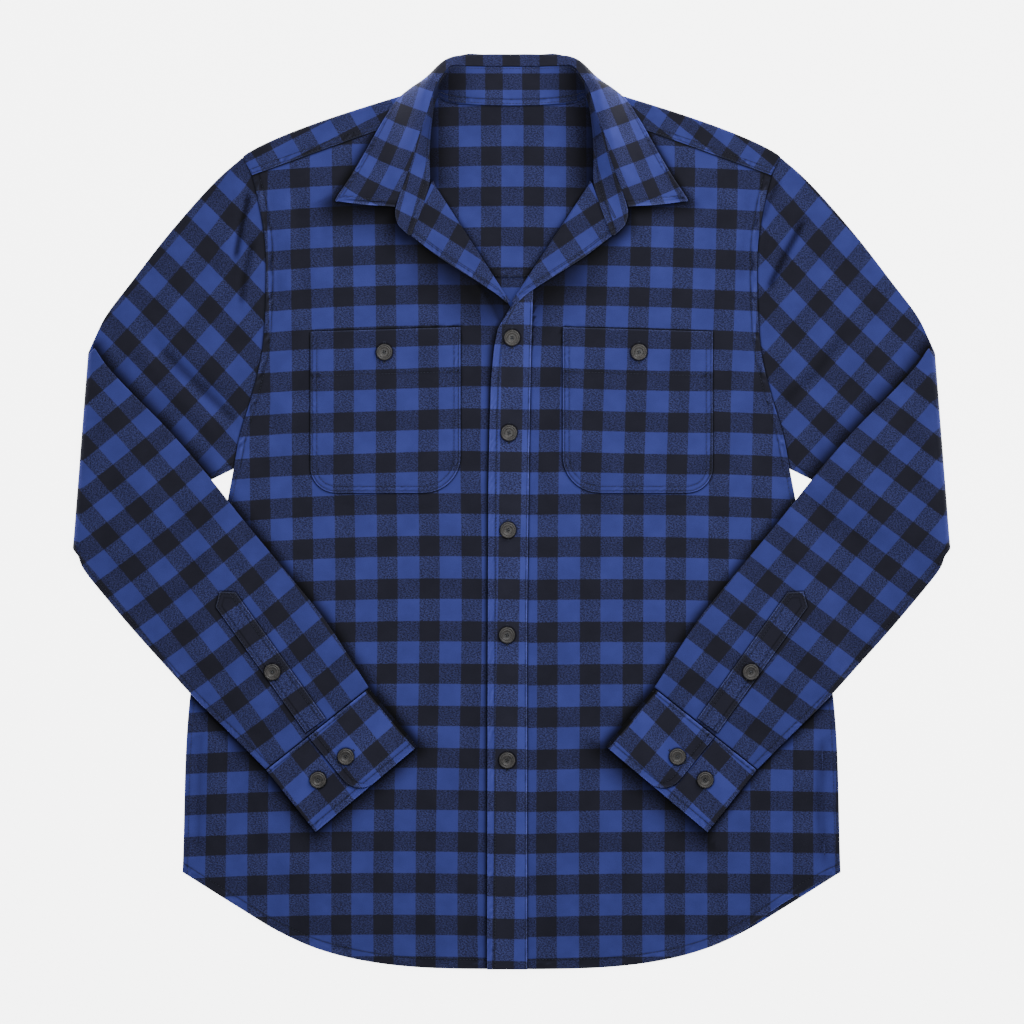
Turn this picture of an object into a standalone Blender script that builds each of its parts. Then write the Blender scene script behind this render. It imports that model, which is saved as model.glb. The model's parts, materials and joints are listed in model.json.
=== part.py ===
"""A long-sleeved flannel work shirt, buttoned and laid flat on its back.

Metres, +Z up, with the surface that it lies on at Z = 0. +Y runs from the hem to
the collar and +X to the wearer's left. The top of the front opening is turned back
as two small lapels, and each sleeve is folded over at the elbow, so that its
forearm and cuff lie across the front. Sizes below are in millimetres. The tables
give the half of the shirt on the +X side, and the other half mirrors it.
"""

import math
from bisect import bisect

import bmesh
import bpy
import numpy as np

MM = 0.001

# Cloth
WALL = 1.2  # one ply of brushed flannel
GAP = 0.3  # clearance between plies and across a seam
PLY = WALL + GAP
COLLAR_WALL = 1.5  # the interlined collar stand
CUFF_WALL = 1.6  # the interlined cuff

# Body
HALF_CHEST = 250.7
ARMPIT_Y = 38.4
SHOULDER_TIP = (241.7, 319.2)
SHOULDER_NECK = (68.0, 384.2)  # the inner end of the shoulder fold
SHOULDER_EASE = 0.8  # from the tip to the end of the yoke's fold
NECK_SIDE_Y = 377.0  # where the neck's edge meets the shoulder fold
BACK_SEAM_Y = 215.0  # where the yoke joins the back
YOKE_ROWS = (0.0, 0.2, 0.4, 0.6, 0.76, 0.89, 1.0)  # shares of the way up the yoke
INNER_YOKE_Y = 211.0
INNER_YOKE_INSET = 9.0  # from the shoulder fold
INNER_YOKE_STATIONS = (0.0, 24.0, 44.0, 56.0, 64.0, 68.0, 84.0, 130.0, 180.0, 217.0)
SIDE_CORNER = (296.6, -324.3)
HEM_Y = -412.0
BODY_PUFF = 2.4  # how far the fronts rise over the air in the shirt
PUFF_REACH = (70.0, 60.0, 60.0)  # how far that takes, from the side, the hem and the shoulder
RAISED_FROM, RAISED_OVER = 100.0, 110.0  # where the fronts start to rise over the inner yoke, and how soon

# Front opening
OPENING_Y = 188.0  # where the two lapels part
ROLL_TOP = (71.0, 293.0)  # the upper end of each lapel's roll line
ROLL_FOOT = (0.5, OPENING_Y)
ROLL_HINGE = 2.2
LAP_EDGE, LAP_FADE = 16.0, 55.0  # where the lapped front starts to come down, and how soon
LAP_TOP_FADE = 60.0

# Sleeves
SLEEVE_PUFF = 2.4
ELBOW_HINGE = 4.25
ELBOW_ROUND = 7.0  # how far the corners of the elbow's fold are rounded
FOREARM_LIFT = 2 * ELBOW_HINGE - WALL - PLY  # underside of a forearm over the body
SAG_REACH = 30.0  # how soon an unsupported forearm comes down to the surface

# Buttons
BUTTON_RADIUS = 7.5
BUTTON_HEIGHT = 2.8
BUTTON_SIDES = 16
BUTTON_SEAT = 0.35
# Rings of the turned shape: (share of the radius, share of the height)
BUTTON_RINGS = ((0.86, 0.0), (1.0, 0.35), (1.0, 0.7), (0.88, 1.0), (0.72, 1.0), (0.55, 0.72))

# Armhole and side seam, from the hem up: (y, x)
BODY_EDGE = (
    (-324.3, 296.6),
    (-169.5, 290.3),
    (-60.0, 269.4),
    (ARMPIT_Y, HALF_CHEST),
    (70.8, 244.4),
    (102.3, 234.8),
    (142.8, 225.1),
    (190.5, 221.6),
    (234.6, 221.6),
    (266.1, 225.5),
    (303.9, 234.5),
    (319.2, 241.7),
)
# Hem and back of the neck: (x, y)
HEM = (
    (0.0, HEM_Y),
    (75.0, -410.7),
    (127.0, -405.3),
    (172.0, -394.5),
    (209.0, -378.3),
    (245.0, -356.7),
    SIDE_CORNER,
)
BACK_NECK = ((0.0, 365.7), (40.0, 366.8), (60.0, 369.5), (68.0, NECK_SIDE_Y))
YOKE_FRONT_SEAM = ((76.0, 359.4), (233.3, 302.6))
# Neck edge, roll line and centre edge of each front, from the hem up: (y, x)
NECK_EDGE = ((293.0, 71.0), (315.0, 77.5), (360.0, 76.5))
BUTTON_EDGE = ((HEM_Y, -15.7), (150.0, -15.7), (OPENING_Y, 3.2), *NECK_EDGE)
BUTTONHOLE_EDGE = (
    (HEM_Y, -22.1),
    (-171.0, -21.7),
    (22.0, -21.0),
    (82.5, -19.8),
    (118.5, -18.5),
    (147.3, -15.8),
    (165.3, -12.2),
    (OPENING_Y, 1.8),
    *NECK_EDGE,
)
PLACKET_SEAM = ((HEM_Y, 13.9), (-98.0, 13.9), (47.0, 15.7), (142.0, 17.5), (200.0, 19.3))

# Rows of a front: (y at its centre edge, y at its outer edge, rows up to the next)
FRONT_ROWS = (
    (359.4, 302.6, 3),
    (ROLL_TOP[1], 222.0, 7),
    (OPENING_Y, 128.0, 3),
    (82.0, ARMPIT_Y, 12),
    (HEM_Y, SIDE_CORNER[1], 0),
)
FRONT_COLUMNS = 11
ROLL_CROWDING = 1.4  # rows come closer towards the lapel's point
LAPEL_TURNS = (0.25, 0.5, 0.75)  # shares of the half turn over the roll line
LAPEL_SHARES = (0.0, 0.12, 0.55, 1.0)  # shares of a lapel's width, past its roll
# The lapels' outer edges: (share of the roll line, x, y)
UPPER_LAPEL = ((0.0, 87.5, 247.0), (0.35, 63.5, 229.7), (0.7, 34.0, 211.0))
RIGHT_LAPEL = (*UPPER_LAPEL, (0.9, 14.0, 197.0), (1.0, 4.0, 187.6))
LEFT_LAPEL = (*UPPER_LAPEL, (0.9, 13.0, 195.0), (1.0, -3.0, 179.5))

# Sleeve rings down to the elbow: (upper edge x, y, underarm x, y, share of the armhole's curve)
UPPER_ARM = (
    (241.9, 319.2, 250.9, 38.4, 1.0),
    (262.0, 301.8, 268.0, 29.9, 0.7),
    (284.0, 278.6, 290.0, 19.0, 0.4),
    (313.0, 244.5, 320.0, 4.1, 0.15),
    (340.7, 208.5, 348.0, -9.8, 0.0),
    (363.0, 176.0, 372.0, -21.0, 0.0),
    (375.0, 150.0, 388.5, -29.0, 0.0),
)
ELBOW_TURNS = (0.2, 0.4, 0.6, 0.8)
# Sleeve rings from the elbow to the cuff: (upper edge x, y, lower edge x, y)
FOREARM = (
    (375.0, 147.0, 388.5, -33.0),
    (364.0, 131.0, 383.5, -54.0),
    (342.5, 107.7, 363.2, -79.5),
    (312.0, 77.0, 339.0, -108.0),
    (280.0, 41.0, 313.0, -137.0),
    (240.0, -9.0, 284.0, -168.5),
    (202.0, -55.0, 262.0, -190.5),
    (166.5, -99.3, 243.0, -209.5),
    (128.2, -158.2, 220.9, -231.9),
)
ACROSS_SLEEVE = (0.03, 0.08, 0.15, 0.24, 0.36, 0.52, 0.68, 0.82, 0.92, 0.97)
EDGE_TURNS = (0.2, 0.5, 0.8)  # shares of the half turn round a flattened edge

# Cuffs, with the ends of the band as shares of its width
CUFF_SEAM = ((128.0, -158.8), (220.6, -232.4))
CUFF_EDGE = ((84.6, -210.9), (176.4, -288.3))
CUFF_LAP = 0.59
CUFF_UNDERLAP = 0.42
CUFF_CORNER = 20.0
CUFF_ROWS = (0.0, 0.25, 0.5, 0.72, 0.86, 0.95, 1.0)

# Sleeve opening strips
STRIP_TOP = (257.0, -79.0)
STRIP_FOOT = (176.2, -192.3)
STRIP_WIDTH = 22.0
STRIP_POINT = 9.0
STRIP_SEAT = 0.45

# Chest pockets, with the inner edge or corner first
POCKET_SIDES = (46.0, 181.0)
POCKET_TOP = (166.0, 162.0)
POCKET_FOOT = 17.0
POCKET_CORNERS = (33.0, 23.0)

# Collar, from the middle of the back to the front end: the stand's sewn edge, the
# seam where the leaf starts, the crest of the leaf's roll, a point on its fall and
# its outer edge, each as (x, y, z)
COLLAR = (
    ((0.0, 365.8, 2.4), (0.0, 400.4, 3.6), (0.0, 412.6, 2.2), (0.0, 402.0, 0.7), (0.0, 369.8, 0.7)),
    ((24.0, 366.3, 2.4), (23.0, 400.5, 3.7), (24.0, 412.4, 2.3), (25.0, 402.0, 0.7), (26.0, 370.4, 0.7)),
    ((45.0, 367.8, 2.5), (41.0, 400.8, 5.4), (43.0, 411.0, 4.6), (47.0, 402.0, 0.9), (48.0, 380.0, 0.8)),
    ((60.0, 370.4, 3.2), (54.0, 400.6, 10.0), (58.5, 406.2, 10.4), (66.0, 401.0, 4.0), (64.0, 393.0, 0.9)),
    ((66.5, 373.0, 5.2), (62.5, 391.0, 17.0), (69.0, 393.8, 17.6), (80.0, 390.5, 8.0), (82.0, 386.0, 1.4)),
    ((69.8, 366.0, 6.0), (69.8, 377.0, 23.0), (77.5, 379.2, 24.0), (94.0, 380.0, 13.0), (103.6, 374.2, 5.2)),
    ((72.4, 350.0, 6.2), (75.8, 357.0, 26.5), (82.5, 358.5, 28.0), (98.0, 357.0, 18.0), (115.0, 352.5, 7.2)),
    ((73.9, 332.0, 6.3), (82.4, 339.0, 27.0), (88.0, 340.0, 28.6), (104.0, 337.5, 18.5), (124.5, 336.4, 7.2)),
    ((74.2, 313.0, 7.4), (87.4, 320.0, 25.5), (93.0, 320.5, 27.0), (111.0, 318.0, 17.0), (134.0, 319.6, 7.4)),
    ((74.0, 297.0, 8.6), (93.8, 302.0, 21.0), (99.0, 302.0, 22.4), (118.0, 300.0, 14.2), (145.5, 300.5, 7.6)),
    ((77.2, 282.9, 10.2), (100.2, 285.5, 16.4), (105.0, 285.6, 17.0), (125.0, 285.5, 11.8), (157.8, 281.8, 7.6)),
)
LEAF_FRONT = (((104.8, 273.8, 13.2), (109.0, 274.4, 14.0), (129.0, 275.8, 10.4), (157.0, 279.2, 7.6)),)
# The stand's front end, past the leaf: its sewn edge and its free edge
STAND_END = (
    ((82.8, 266.4, 10.6), (104.6, 270.0, 13.2)),
    ((86.2, 258.2, 11.0), (102.2, 258.5, 12.6)),
    ((88.4, 252.2, 11.0), (96.4, 252.0, 11.8)),
    ((89.8, 248.8, 11.0), (92.4, 248.4, 11.2)),
)
LEAF_START = 0.6  # from the stand's edge
UPRIGHT = 8.0  # height at which the stand's edge is taken as upright
COLLAR_STEPS = 2  # rings from one row of the collar's table to the next
LEAF_COLUMNS = 8
STAND_COLUMNS = 3

# Buttons: (x, y)
PLACKET_BUTTONS = ((0.4, 156.3), (-2.3, 70.8), (-3.2, -16.5), (-4.1, -111.0), (-4.1, -223.5))
POCKET_BUTTON = (114.5, 143.5)
CUFF_BUTTON = (149.0, -220.0)
CUFF_SPARE_BUTTON = (174.0, -241.0)
STRIP_BUTTON = (215.0, -144.0)

# Broad troughs in the upper cloth, on their own sides: (from x, y, to x, y, width, depth)
TROUGHS = (
    (-317.0, 147.0, -243.0, 79.0, 20.0, 1.3),
    (296.0, 146.0, 242.0, 83.0, 20.0, 1.3),
    (262.0, 236.0, 318.0, 205.0, 18.0, 1.0),
    (-205.0, 300.0, -192.0, 190.0, 20.0, 1.0),
    (205.0, 290.0, 196.0, 200.0, 20.0, 0.8),
    (-268.0, -235.0, -215.0, -330.0, 24.0, 1.0),
)
TROUGH_LIMIT = 0.6  # of the puff that a trough is pressed into


def vec(*values):
    """A point or a direction."""
    return np.array(values, float)


def unit(direction):
    """The direction, one long."""
    return direction / np.linalg.norm(direction)


def mix(a, b, share):
    """The point at a share of the way from a to b."""
    return (1 - share) * np.asarray(a, float) + share * np.asarray(b, float)


def step(value):
    """0 up to 0, 1 from 1, with an even swell between."""
    value = min(max(value, 0.0), 1.0)
    return value * value * (3 - 2 * value)


def bracket(rows, key):
    """The index of the row at or below key, and the share of the way from it to the next."""
    keys = [row[0] for row in rows]
    low = min(max(bisect(keys, key) - 1, 0), len(rows) - 2)
    return low, (key - keys[low]) / (keys[low + 1] - keys[low])


def straight(rows, key):
    """The value beside key in a table of (key, value), on straight lines."""
    low, share = bracket(rows, key)
    return rows[low][1] + share * (rows[low + 1][1] - rows[low][1])


def smooth(rows, key):
    """The values beside key in a table that is sorted by its first column, on a curve through every row."""
    table = np.array(rows, float)
    low, t = bracket(rows, key)
    before, after = np.clip((low - 1, low), 0, None), np.clip((low + 1, low + 2), None, len(rows) - 1)
    slopes = (table[after, 1:] - table[before, 1:]) / (table[after, :1] - table[before, :1])
    slopes *= table[low + 1, 0] - table[low, 0]
    return (
        table[low, 1:] * (2 * t**3 - 3 * t**2 + 1)
        + slopes[0] * (t**3 - 2 * t**2 + t)
        + table[low + 1, 1:] * (3 * t**2 - 2 * t**3)
        + slopes[1] * (t**3 - t**2)
    )


def through(points, count):
    """Points at equal shares of length along a smooth curve through the given ones."""
    marks = np.cumsum([0.0, *(np.linalg.norm(b - a) for a, b in zip(points, points[1:]))])
    rows = [(mark, *point) for mark, point in zip(marks, points)]
    return [smooth(rows, mark) for mark in np.linspace(0, marks[-1], count)]


def share_along(point, start, end):
    """The share of the way from start to end that is nearest to a point."""
    run = vec(*end) - vec(*start)
    return np.clip((vec(*point) - vec(*start)) @ run / (run @ run), 0, 1)


def beyond(point, start, end):
    """How far a point lies to the left of the line from start to end."""
    along = unit(vec(*end) - vec(*start))
    away = vec(*point) - vec(*start)
    return along[0] * away[1] - along[1] * away[0]


def outer_edge(y):
    """Half width of the body at a height, at the armhole or the side seam."""
    return smooth(BODY_EDGE, y)[0]


def hem_y(x):
    """Height of the curved hem."""
    return smooth(HEM, abs(x))[0]


def trough(x, y):
    """Depth of the troughs at a place on the shirt."""
    depth = 0.0
    for x1, y1, x2, y2, width, deepest in TROUGHS:
        nearest = mix((x1, y1), (x2, y2), share_along((x, y), (x1, y1), (x2, y2)))
        depth += deepest * (1 - step(np.linalg.norm(vec(x, y) - nearest) / width))
    return depth


def front_rise(x, y, side):
    """Height of the underside of a front, where it doesn't lap over the other."""
    half = x * side
    side_reach, hem_reach, shoulder_reach = PUFF_REACH
    puff = BODY_PUFF * step((outer_edge(max(y, SIDE_CORNER[1])) - half) / side_reach)
    puff *= step((y - hem_y(half)) / hem_reach)
    puff *= step(beyond((half, y), SHOULDER_TIP, SHOULDER_NECK) / shoulder_reach)
    raised = PLY + PLY * step((y - RAISED_FROM) / RAISED_OVER)
    return raised + puff - min(trough(x, y), TROUGH_LIMIT * puff)


def right_rise(x, y):
    """Height of the underside of the wearer's right front."""
    return front_rise(x, y, -1)


def left_rise(x, y):
    """Height of the underside of the wearer's left front, which laps over the right."""
    lap = (1 - step((x - LAP_EDGE) / LAP_FADE)) * (1 - step((y - OPENING_Y) / LAP_TOP_FADE))
    return front_rise(x, y, 1) + PLY * lap


def forearm_lift(x, y):
    """Height of a forearm's underside, over the body or the upper arm or on the surface beside them."""
    off = min(beyond((x, y), UPPER_ARM[-1][2:4], (HALF_CHEST, ARMPIT_Y)), x - outer_edge(y))
    return GAP + (FOREARM_LIFT - GAP) * (1 - step(off / SAG_REACH))


def sleeve_swell(row, rows, across):
    """How far a sleeve's upper ply rises at a ring, and a share of the way across it."""
    return SLEEVE_PUFF * math.sin(math.pi * row / (rows - 1)) ** 0.7 * math.sin(math.pi * across) ** 0.8


def forearm_top(x, y):
    """Height of a forearm's upper face."""
    rows = [(i, *ring) for i, ring in enumerate(FOREARM)]
    marks = np.linspace(0, len(rows) - 1, 8 * len(rows))
    mark = min(marks, key=lambda m: abs(beyond((x, y), smooth(rows, m)[:2], smooth(rows, m)[2:])))
    ring = smooth(rows, mark)
    across = share_along((x, y), ring[:2], ring[2:])
    return forearm_lift(x, y) + PLY + WALL + sleeve_swell(mark, len(rows), across)


def material(name, colour, roughness, sheen=0.0):
    """A plain finish."""
    made = bpy.data.materials.new(name)
    made.use_nodes = True
    shader = made.node_tree.nodes["Principled BSDF"]
    shader.inputs["Base Color"].default_value = (*colour, 1.0)
    shader.inputs["Roughness"].default_value = roughness
    shader.inputs["Sheen Weight"].default_value = sheen
    return made


def add_object(name, mesh, finish):
    """Makes a closed bmesh a named object."""
    bmesh.ops.recalc_face_normals(mesh, faces=mesh.faces)
    data = bpy.data.meshes.new(name)
    mesh.to_mesh(data)
    mesh.free()
    data.shade_smooth()
    data.set_sharp_from_angle(angle=math.radians(40))
    data.materials.append(finish)
    made = bpy.data.objects.new(name, data)
    bpy.context.scene.collection.objects.link(made)
    return made


def add_cloth(name, net, finish, around=0):
    """One closed wall from a net, which maps (row, column) to a point of each of its two faces.

    Where around is given, a row's columns close into a ring of that many.
    """
    mesh = bmesh.new()
    skins = [{cell: mesh.verts.new(pair[skin] * MM) for cell, pair in net.items()} for skin in (0, 1)]
    borders = {}
    for row, column in net:
        right = (column + 1) % around if around else column + 1
        corners = ((row, column), (row, right), (row + 1, right), (row + 1, column))
        if any(corner not in net for corner in corners):
            continue
        for skin in skins:
            mesh.faces.new([skin[corner] for corner in corners])
        for pair in zip(corners, corners[1:] + corners[:1]):
            borders[frozenset(pair)] = None if frozenset(pair) in borders else pair
    for pair in borders.values():
        if pair:
            a, b = pair
            mesh.faces.new((skins[0][a], skins[0][b], skins[1][b], skins[1][a]))
    return add_object(name, mesh, finish)


def flat(x, y, low):
    """The two faces of a ply that lies flat, with its underside at a height."""
    return vec(x, y, low), vec(x, y, low + WALL)


def turned(spot, turn, base, hinge, out, side):
    """The two faces of a ply that is turned over a hinge: turn is 0 below it and 1 above."""
    angle = math.pi * turn
    faces = []
    for rise in (0.0, WALL):
        reach = spot + out * (hinge - rise) * math.sin(angle)
        faces.append(vec(side * reach[0], reach[1], base + hinge - (hinge - rise) * math.cos(angle)))
    return tuple(faces)


def thickened(grid, wall, around=False):
    """A net from rows of middle points, moved half a wall to either side and kept above the surface."""
    net = {}
    last = len(grid) - 1
    for r, row in enumerate(grid):
        for c, point in enumerate(row):
            before, after = (c - 1, (c + 1) % len(row)) if around else (max(c - 1, 0), min(c + 1, len(row) - 1))
            along = grid[min(r + 1, last)][c] - grid[max(r - 1, 0)][c]
            normal = unit(np.cross(along, row[after] - row[before]))
            faces = (point - normal * wall / 2, point + normal * wall / 2)
            net[r, c] = [face * vec(1, 1, face[2] > 0) for face in faces]
    return net


def add_back(finish):
    """The back below the yoke, on the surface."""
    rows, columns, top = 14, 18, BACK_SEAM_Y - GAP
    net = {}
    for row in range(rows + 1):
        share = row / rows
        level = top + share * (SIDE_CORNER[1] - top)
        for column in range(columns + 1):
            x = (2 * column / columns - 1) * (outer_edge(level) - GAP)
            net[row, column] = flat(x, level + share**3 * (hem_y(x) - SIDE_CORNER[1]), 0.0)
    return add_cloth("back", net, finish)


def yoke_column(column, columns, neck_column):
    """A yoke column's foot on the back seam, its upper end and, outside the neck, its end on the front."""
    from_side = min(column, columns - column)
    along = from_side / neck_column
    if along > 1:
        x = SHOULDER_NECK[0] * (1 - (from_side - neck_column) / (columns / 2 - neck_column))
        return vec(x, BACK_SEAM_Y), vec(x, smooth(BACK_NECK, x)[0] - GAP), None
    foot = mix((outer_edge(BACK_SEAM_Y) - GAP, BACK_SEAM_Y), (SHOULDER_NECK[0], BACK_SEAM_Y), along)
    fold = mix((SHOULDER_TIP[0] - SHOULDER_EASE, SHOULDER_TIP[1]), SHOULDER_NECK, along)
    inner, outer = YOKE_FRONT_SEAM
    return foot, fold, mix((outer[0] - GAP, outer[1] + GAP), (inner[0], inner[1] + GAP), along)


def add_yoke(finish):
    """The yoke under the back of the neck, turned over both shoulders onto the front."""
    hinge = (2 * PLY + WALL) / 2
    rows, columns, strip_rows, neck_column = len(YOKE_ROWS) - 1, 16, 2, 5
    along_fold = unit(vec(*SHOULDER_NECK) - vec(*SHOULDER_TIP))
    out = vec(along_fold[1], -along_fold[0])
    net = {}
    for column in range(columns + 1):
        side = -1 if column < columns / 2 else 1
        foot, top, end = yoke_column(column, columns, neck_column)
        below_fold = top if end is None else top - out * hinge
        for row, share in enumerate(YOKE_ROWS):
            spot = mix(foot, below_fold, share)
            if column in (0, columns):
                spot[0] = outer_edge(spot[1]) - GAP
            net[row, column] = flat(side * spot[0], spot[1], 0.0)
        if end is None:
            continue
        for i, turn in enumerate((0.25, 0.5, 0.75, 1.0)):
            net[rows + 1 + i, column] = turned(below_fold, turn, 0.0, hinge, out, side)
        for i in range(strip_rows):
            spot = mix(below_fold, end, (i + 1) / strip_rows)
            base = front_rise(side * spot[0], spot[1], side) - 2 * PLY
            net[rows + 5 + i, column] = turned(spot, 1.0, base, hinge, out, side)
    return add_cloth("yoke", net, finish)


def add_inner_yoke(finish):
    """The yoke's inner ply, which shows in the neck."""
    rows = 4
    slope = (SHOULDER_TIP[1] - SHOULDER_NECK[1]) / (SHOULDER_TIP[0] - SHOULDER_NECK[0])
    net = {}
    for column, x in enumerate([-x for x in INNER_YOKE_STATIONS[:0:-1]] + list(INNER_YOKE_STATIONS)):
        outside = abs(x) - SHOULDER_NECK[0]
        neck = smooth(BACK_NECK, abs(x))[0] - GAP if outside < 0 else NECK_SIDE_Y
        top = min(neck, SHOULDER_NECK[1] + slope * outside - INNER_YOKE_INSET) if outside >= 0 else neck
        for row in range(rows + 1):
            net[row, column] = flat(x, mix(INNER_YOKE_Y, top, row / rows), PLY)
    return add_cloth("inner_yoke", net, finish)


def front_rows():
    """Each row of a front: y at its centre and outer edges, and its share of the roll line or None."""
    rows = []
    for (y, outer, count), (next_y, next_outer, _) in zip(FRONT_ROWS, FRONT_ROWS[1:]):
        for i in range(count):
            share = 1 - (1 - i / count) ** ROLL_CROWDING if y == ROLL_TOP[1] else i / count
            level = mix(y, next_y, share)
            on_roll = (ROLL_TOP[1] - level) / (ROLL_TOP[1] - OPENING_Y)
            rows.append((level, mix(outer, next_outer, share), on_roll if 0 <= on_roll <= 1 else None))
    return [*rows, (*FRONT_ROWS[-1][:2], None)]


def add_front(name, side, centre_edge, lapel_edge, rise, finish):
    """A front from the yoke's seam to the hem, with its lapel turned back over the roll line."""
    along_roll = unit(vec(*ROLL_TOP) - vec(*ROLL_FOOT))
    out = vec(-along_roll[1], along_roll[0])
    lower_y = FRONT_ROWS[3][0]
    net = {}
    for row, (y_in, y_out, on_roll) in enumerate(front_rows()):
        near = vec(straight(centre_edge, y_in), y_in)
        far = vec(outer_edge(y_out) - GAP, y_out)
        droop = max((lower_y - y_in) / (lower_y - HEM_Y), 0.0) ** 3
        for column in range(FRONT_COLUMNS + 1):
            share = column / FRONT_COLUMNS
            x, y = mix(near, far, share)
            y += droop * (hem_y(x) - mix(HEM_Y, SIDE_CORNER[1], share))
            net[row, column] = flat(side * x, y, rise(side * x, y))
        if on_roll is None:
            continue
        base = rise(side * near[0], near[1])
        for i, turn in enumerate(LAPEL_TURNS):
            net[row, -1 - i] = turned(near, turn, base, ROLL_HINGE, out, side)
        for i, share in enumerate(LAPEL_SHARES):
            spot = mix(near, smooth(lapel_edge, on_roll), share)
            base = rise(side * spot[0], spot[1])
            net[row, -1 - len(LAPEL_TURNS) - i] = turned(spot, 1.0, base, ROLL_HINGE, out, side)
    return add_cloth(name, net, finish)


def add_placket(finish):
    """The buttonhole strip, on the edge of the wearer's left front."""
    rows, columns, top_slope = 20, 3, 19.0
    net = {}
    for row in range(rows + 1):
        for column in range(columns + 1):
            across = column / columns
            y = mix(OPENING_Y - 3 + across * top_slope, HEM_Y, row / rows)
            left = straight(BUTTONHOLE_EDGE, min(y, OPENING_Y - 3))
            x = mix(left, straight(PLACKET_SEAM, y), across)
            net[row, column] = flat(x, y, left_rise(x, y) + PLY)
    return add_cloth("placket", net, finish)


def add_pocket(name, side, rise, finish):
    """A patch pocket with rounded lower corners."""
    rows, columns = 8, 12
    inner, outer = POCKET_SIDES
    net = {}
    for column in range(columns + 1):
        across = (1 - math.cos(math.pi * column / columns)) / 2
        x = mix(inner, outer, across)
        corner, off = (POCKET_CORNERS[0], x - inner) if across < 0.5 else (POCKET_CORNERS[1], outer - x)
        inset = max(corner - off, 0.0)
        foot = POCKET_FOOT + corner - math.sqrt(corner**2 - inset**2)
        for row in range(rows + 1):
            y = mix(mix(*POCKET_TOP, across), foot, row / rows)
            net[row, column] = flat(side * x, y, rise(side * x, y) + PLY)
    return add_cloth(name, net, finish)


def sleeve_section(upper, lower, swell=lambda across: 0.0):
    """The middle of a flattened sleeve's wall round one ring, as (spot, height)."""
    along = unit(lower - upper)
    radius = PLY / 2
    inset = radius + WALL / 2
    front = [(mix(upper, lower, across), PLY + WALL / 2 + swell(across)) for across in ACROSS_SLEEVE]
    back = [(mix(upper, lower, across), WALL / 2) for across in ACROSS_SLEEVE[::-1]]
    ends = []
    for corner, inward in ((lower, -along), (upper, along)):
        for turn in EDGE_TURNS:
            angle = math.pi * turn
            spot = corner + inward * (inset - radius * math.sin(angle))
            height = WALL / 2 + radius + radius * math.cos(angle) * (1 if corner is lower else -1)
            ends.append((spot, height))
    return [*front, *ends[: len(EDGE_TURNS)], *back, *ends[len(EDGE_TURNS) :]]


def upper_arm_ring(row, side):
    """Points round a ring between the armhole and the elbow."""
    x1, y1, x2, y2, bend = UPPER_ARM[row]
    ring = []
    for spot, height in sleeve_section(
        vec(x1, y1), vec(x2, y2), lambda across: sleeve_swell(row, len(UPPER_ARM), across)
    ):
        start = mix(UPPER_ARM[0][:2], UPPER_ARM[0][2:4], share_along(spot, (x1, y1), (x2, y2)))
        raised = PLY * bend * step((start[1] - RAISED_FROM) / RAISED_OVER)
        x = spot[0] + bend * (outer_edge(start[1]) + GAP - start[0])
        share = (height - WALL / 2) / PLY
        swollen = max(height - WALL / 2 - PLY, 0.0)
        dip = min(trough(side * x, spot[1]), TROUGH_LIMIT * swollen)
        ring.append(vec(side * x, spot[1], height - dip + raised * min(share, 1.0)))
    return ring


def elbow_ring(turn, side):
    """Points round a ring where the sleeve turns over at the elbow."""
    (x1, y1, x2, y2, _), (x3, y3, x4, y4) = UPPER_ARM[-1], FOREARM[0]
    rounding = vec(0, ELBOW_ROUND * math.sin(math.pi * turn))
    upper, lower = mix((x1, y1), (x3, y3), turn) - rounding, mix((x2, y2), (x4, y4), turn) + rounding
    ring = []
    for spot, height in sleeve_section(upper, lower):
        reach = ELBOW_HINGE - height
        angle = math.pi * turn
        x = spot[0] + reach * math.sin(angle)
        ring.append(vec(side * x, spot[1], ELBOW_HINGE - reach * math.cos(angle)))
    return ring


def forearm_ring(row, side):
    """Points round a ring between the elbow and the cuff, where the sleeve lies the other way up."""
    x1, y1, x2, y2 = FOREARM[row]
    ring = []
    for spot, height in sleeve_section(vec(x1, y1), vec(x2, y2)):
        share = 1 - (height - WALL / 2) / PLY
        swell = sleeve_swell(row, len(FOREARM), share_along(spot, (x1, y1), (x2, y2))) * share
        ring.append(vec(side * spot[0], spot[1], forearm_lift(*spot) + PLY + WALL - height + swell))
    return ring


def add_sleeve(name, side, finish):
    """A sleeve as a flattened tube, folded over on itself at the elbow."""
    rings = [upper_arm_ring(row, side) for row in range(len(UPPER_ARM))]
    rings += [elbow_ring(turn, side) for turn in ELBOW_TURNS]
    rings += [forearm_ring(row, side) for row in range(len(FOREARM))]
    return add_cloth(name, thickened(rings, WALL, around=True), finish, around=len(rings[0]))


def add_strip(name, side, finish):
    """The pointed strip over a sleeve's opening."""
    rows, columns = 10, 2
    run = vec(*STRIP_FOOT) - vec(*STRIP_TOP)
    over = unit(vec(run[1], -run[0]))
    net = {}
    for row in range(rows + 1):
        for column in range(columns + 1):
            across = 2 * column / columns - 1
            point = STRIP_POINT * (1 - row / rows) * (1 - abs(across)) / np.linalg.norm(run)
            x, y = vec(*STRIP_TOP) + run * (row / rows - point) + over * across * STRIP_WIDTH / 2
            net[row, column] = flat(side * x, y, forearm_top(x, y) + STRIP_SEAT)
    return add_cloth(name, net, finish)


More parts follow.
